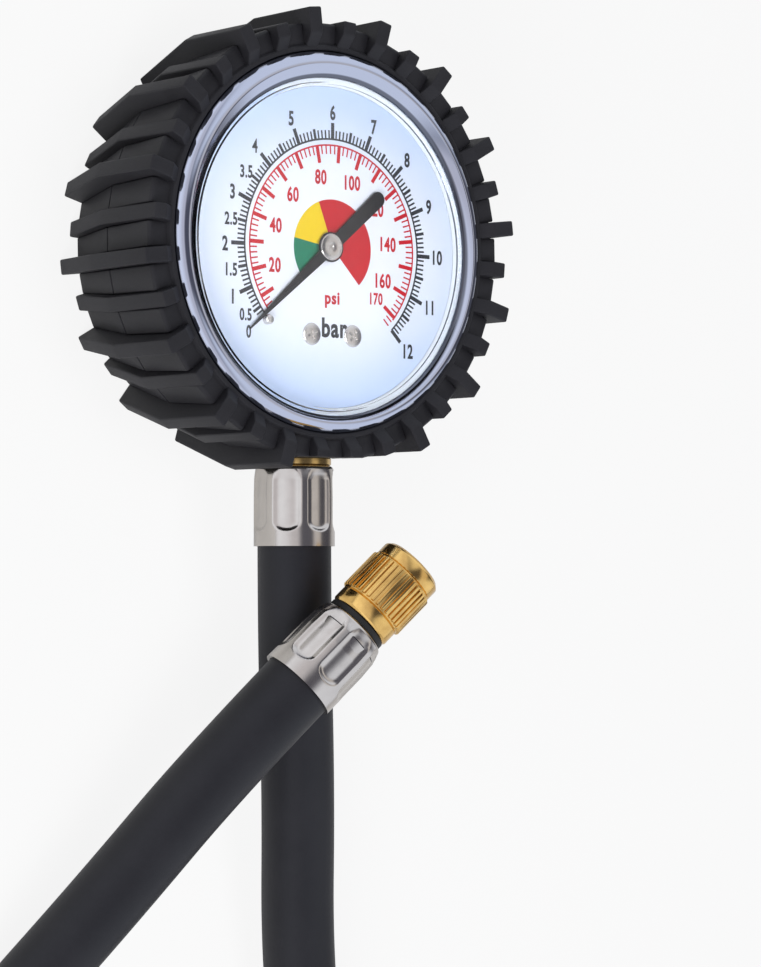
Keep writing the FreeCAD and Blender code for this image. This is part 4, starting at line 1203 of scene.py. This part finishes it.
class GAUGE_OT_stage(bpy.types.Operator):
    """Set up the floor, the lamps, the surroundings and the camera"""

    bl_idname = "gauge.stage"
    bl_label = "Stage"

    def execute(self, context):
        self.floor()
        aim = (0, -0.02, 0.03)
        self.lamp("key", (0.0, -0.05, 0.9), aim, (0.4, 0.4), 2.45, (0.98, 0.985, 1))
        self.lamp("side", (-0.5, -0.45, 0.42), aim, (0.26, 0.34), 2.85, (1, 1, 1))
        self.surroundings(context.scene)
        self.camera(context.scene)
        context.scene.view_settings.view_transform = "Standard"
        return {"FINISHED"}

    def floor(self):
        """A large pale floor that shows near white and keeps the shadow."""
        begin()
        bpy.ops.mesh.primitive_circle_add(vertices=96, radius=4, fill_type="NGON")
        floor = bpy.context.object
        floor.name = "floor"
        floor.location.z = -0.0002
        applied(floor)
        finish = Finish("floor_pale")
        speckle = finish.mix(finish.noise(40, 3) * 0.2, rgba((0.9, 0.9, 0.9)), rgba((0.87, 0.87, 0.87)))
        plain = finish.surface(Base_Color=speckle, Roughness=0.9)
        white = finish.node("ShaderNodeEmission", {}, {"Color": WHITE, "Strength": 1.0})
        shown = (finish.ray("Is Camera Ray") * 0.88 + finish.ray("Is Glossy Ray") * 0.25).clamped()
        floor.data.materials.append(finish.done(finish.either(shown, plain, white)))

    def lamp(self, name, place, aim, size, power, tint):
        """A rectangular soft lamp that faces a point."""
        begin()
        bpy.ops.object.light_add(type="AREA", location=place)
        lamp = bpy.context.object
        lamp.name = name
        lamp.data.shape = "RECTANGLE"
        lamp.data.size, lamp.data.size_y = size
        lamp.data.energy = power
        lamp.data.color = tint
        lamp.visible_glossy = False
        lamp.rotation_euler = (Vector(aim) - Vector(place)).to_track_quat("-Z", "Y").to_euler()

    def surroundings(self, scene):
        """White to the eye, a soft grey dome for light and a studio of panels for reflections."""
        world = bpy.data.worlds.new("studio")
        scene.world = world
        world.use_nodes = True
        room = Finish(None, world.node_tree)
        along, across, height = room.axes(room.node("ShaderNodeTexCoord", {}, {}, "Generated"))
        angle = along.maths("ARCTAN2", along, height) * (0.5 / math.pi) + 0.5
        stops = [(degrees / 360 + 0.5, shade) for degrees, shade in WALL_STOPS]
        walls = room.node("ShaderNodeValToRGB", {"stops": stops}, {"Fac": angle})
        aside = room.smooth((across - 0.04).size(), 0.14, 0.4) * room.smooth(along, -0.5, 0.1)
        walls = room.mix(aside, walls, SIDE_WALLS)
        straight = (1 - room.ray("Diffuse Depth")).clamped()
        mirrored = room.ray("Glossy Depth").clamped() * straight
        dome, panels, white = (
            room.node("ShaderNodeBackground", {}, {"Color": shade, "Strength": strength})
            for shade, strength in ((DOME, 0.17), (walls, 1.0), (WHITE, 1.0)))
        seen = room.ray("Is Camera Ray") + room.ray("Is Transmission Ray") * straight
        shown = (seen - mirrored).clamped()
        shader = room.either(shown, room.either(mirrored, dome, panels), white)
        room.node("ShaderNodeOutputWorld", {}, {"Surface": shader})

    def camera(self, scene):
        """The camera, above and to the left of the gauge."""
        begin()
        back = CAMERA_BACK
        right = (CAMERA_RIGHT - back * CAMERA_RIGHT.dot(back)).normalized()
        turn = Matrix((right, back.cross(right), back)).transposed()
        bpy.ops.object.camera_add(location=CAMERA_PLACE, rotation=turn.to_euler())
        camera = bpy.context.object
        camera.data.sensor_fit = "AUTO"
        camera.data.sensor_width = SENSOR
        camera.data.lens = SENSOR * CAMERA_FOCUS / PICTURE_HEIGHT
        scene.camera = camera


SETTINGS = {
    "gauge_colours": GaugeColours,
    "gauge_boot": BootSizes,
    "gauge_dial": DialSizes,
    "gauge_crimp": CrimpSizes,
}
STEPS = (
    GAUGE_OT_finishes,
    GAUGE_OT_stage,
    GAUGE_OT_hose,
    GAUGE_OT_boot,
    GAUGE_OT_bezel,
    GAUGE_OT_lens,
    GAUGE_OT_dial_print,
    GAUGE_OT_pointer,
    GAUGE_OT_dial_screws,
    GAUGE_OT_pressure_tube,
    GAUGE_OT_ferrules,
    GAUGE_OT_connector,
    GAUGE_OT_declare_hose,
)


class GAUGE_PT_sidebar(bpy.types.Panel):
    """The gauge's settings and steps"""

    bl_label = "Tyre gauge"
    bl_idname = "GAUGE_PT_sidebar"
    bl_space_type = "VIEW_3D"
    bl_region_type = "UI"
    bl_category = "Tyre gauge"

    def draw(self, context):
        for name, kind in SETTINGS.items():
            box = self.layout.box()
            for key in kind.__annotations__:
                box.prop(getattr(context.scene, name), key)
        for step in STEPS:
            self.layout.operator(step.bl_idname)


def register():
    for kind in (*SETTINGS.values(), *STEPS, GAUGE_PT_sidebar):
        bpy.utils.register_class(kind)
    for name, kind in SETTINGS.items():
        setattr(bpy.types.Scene, name, PointerProperty(type=kind))


def unregister():
    for name in SETTINGS:
        delattr(bpy.types.Scene, name)
    for kind in (GAUGE_PT_sidebar, *STEPS, *SETTINGS.values()):
        bpy.utils.unregister_class(kind)


def main():
    """Build the whole gauge."""
    register()
    for step in STEPS:
        group, name = step.bl_idname.split(".")
        getattr(getattr(bpy.ops, group), name)()


if __name__ == "__main__":
    main()
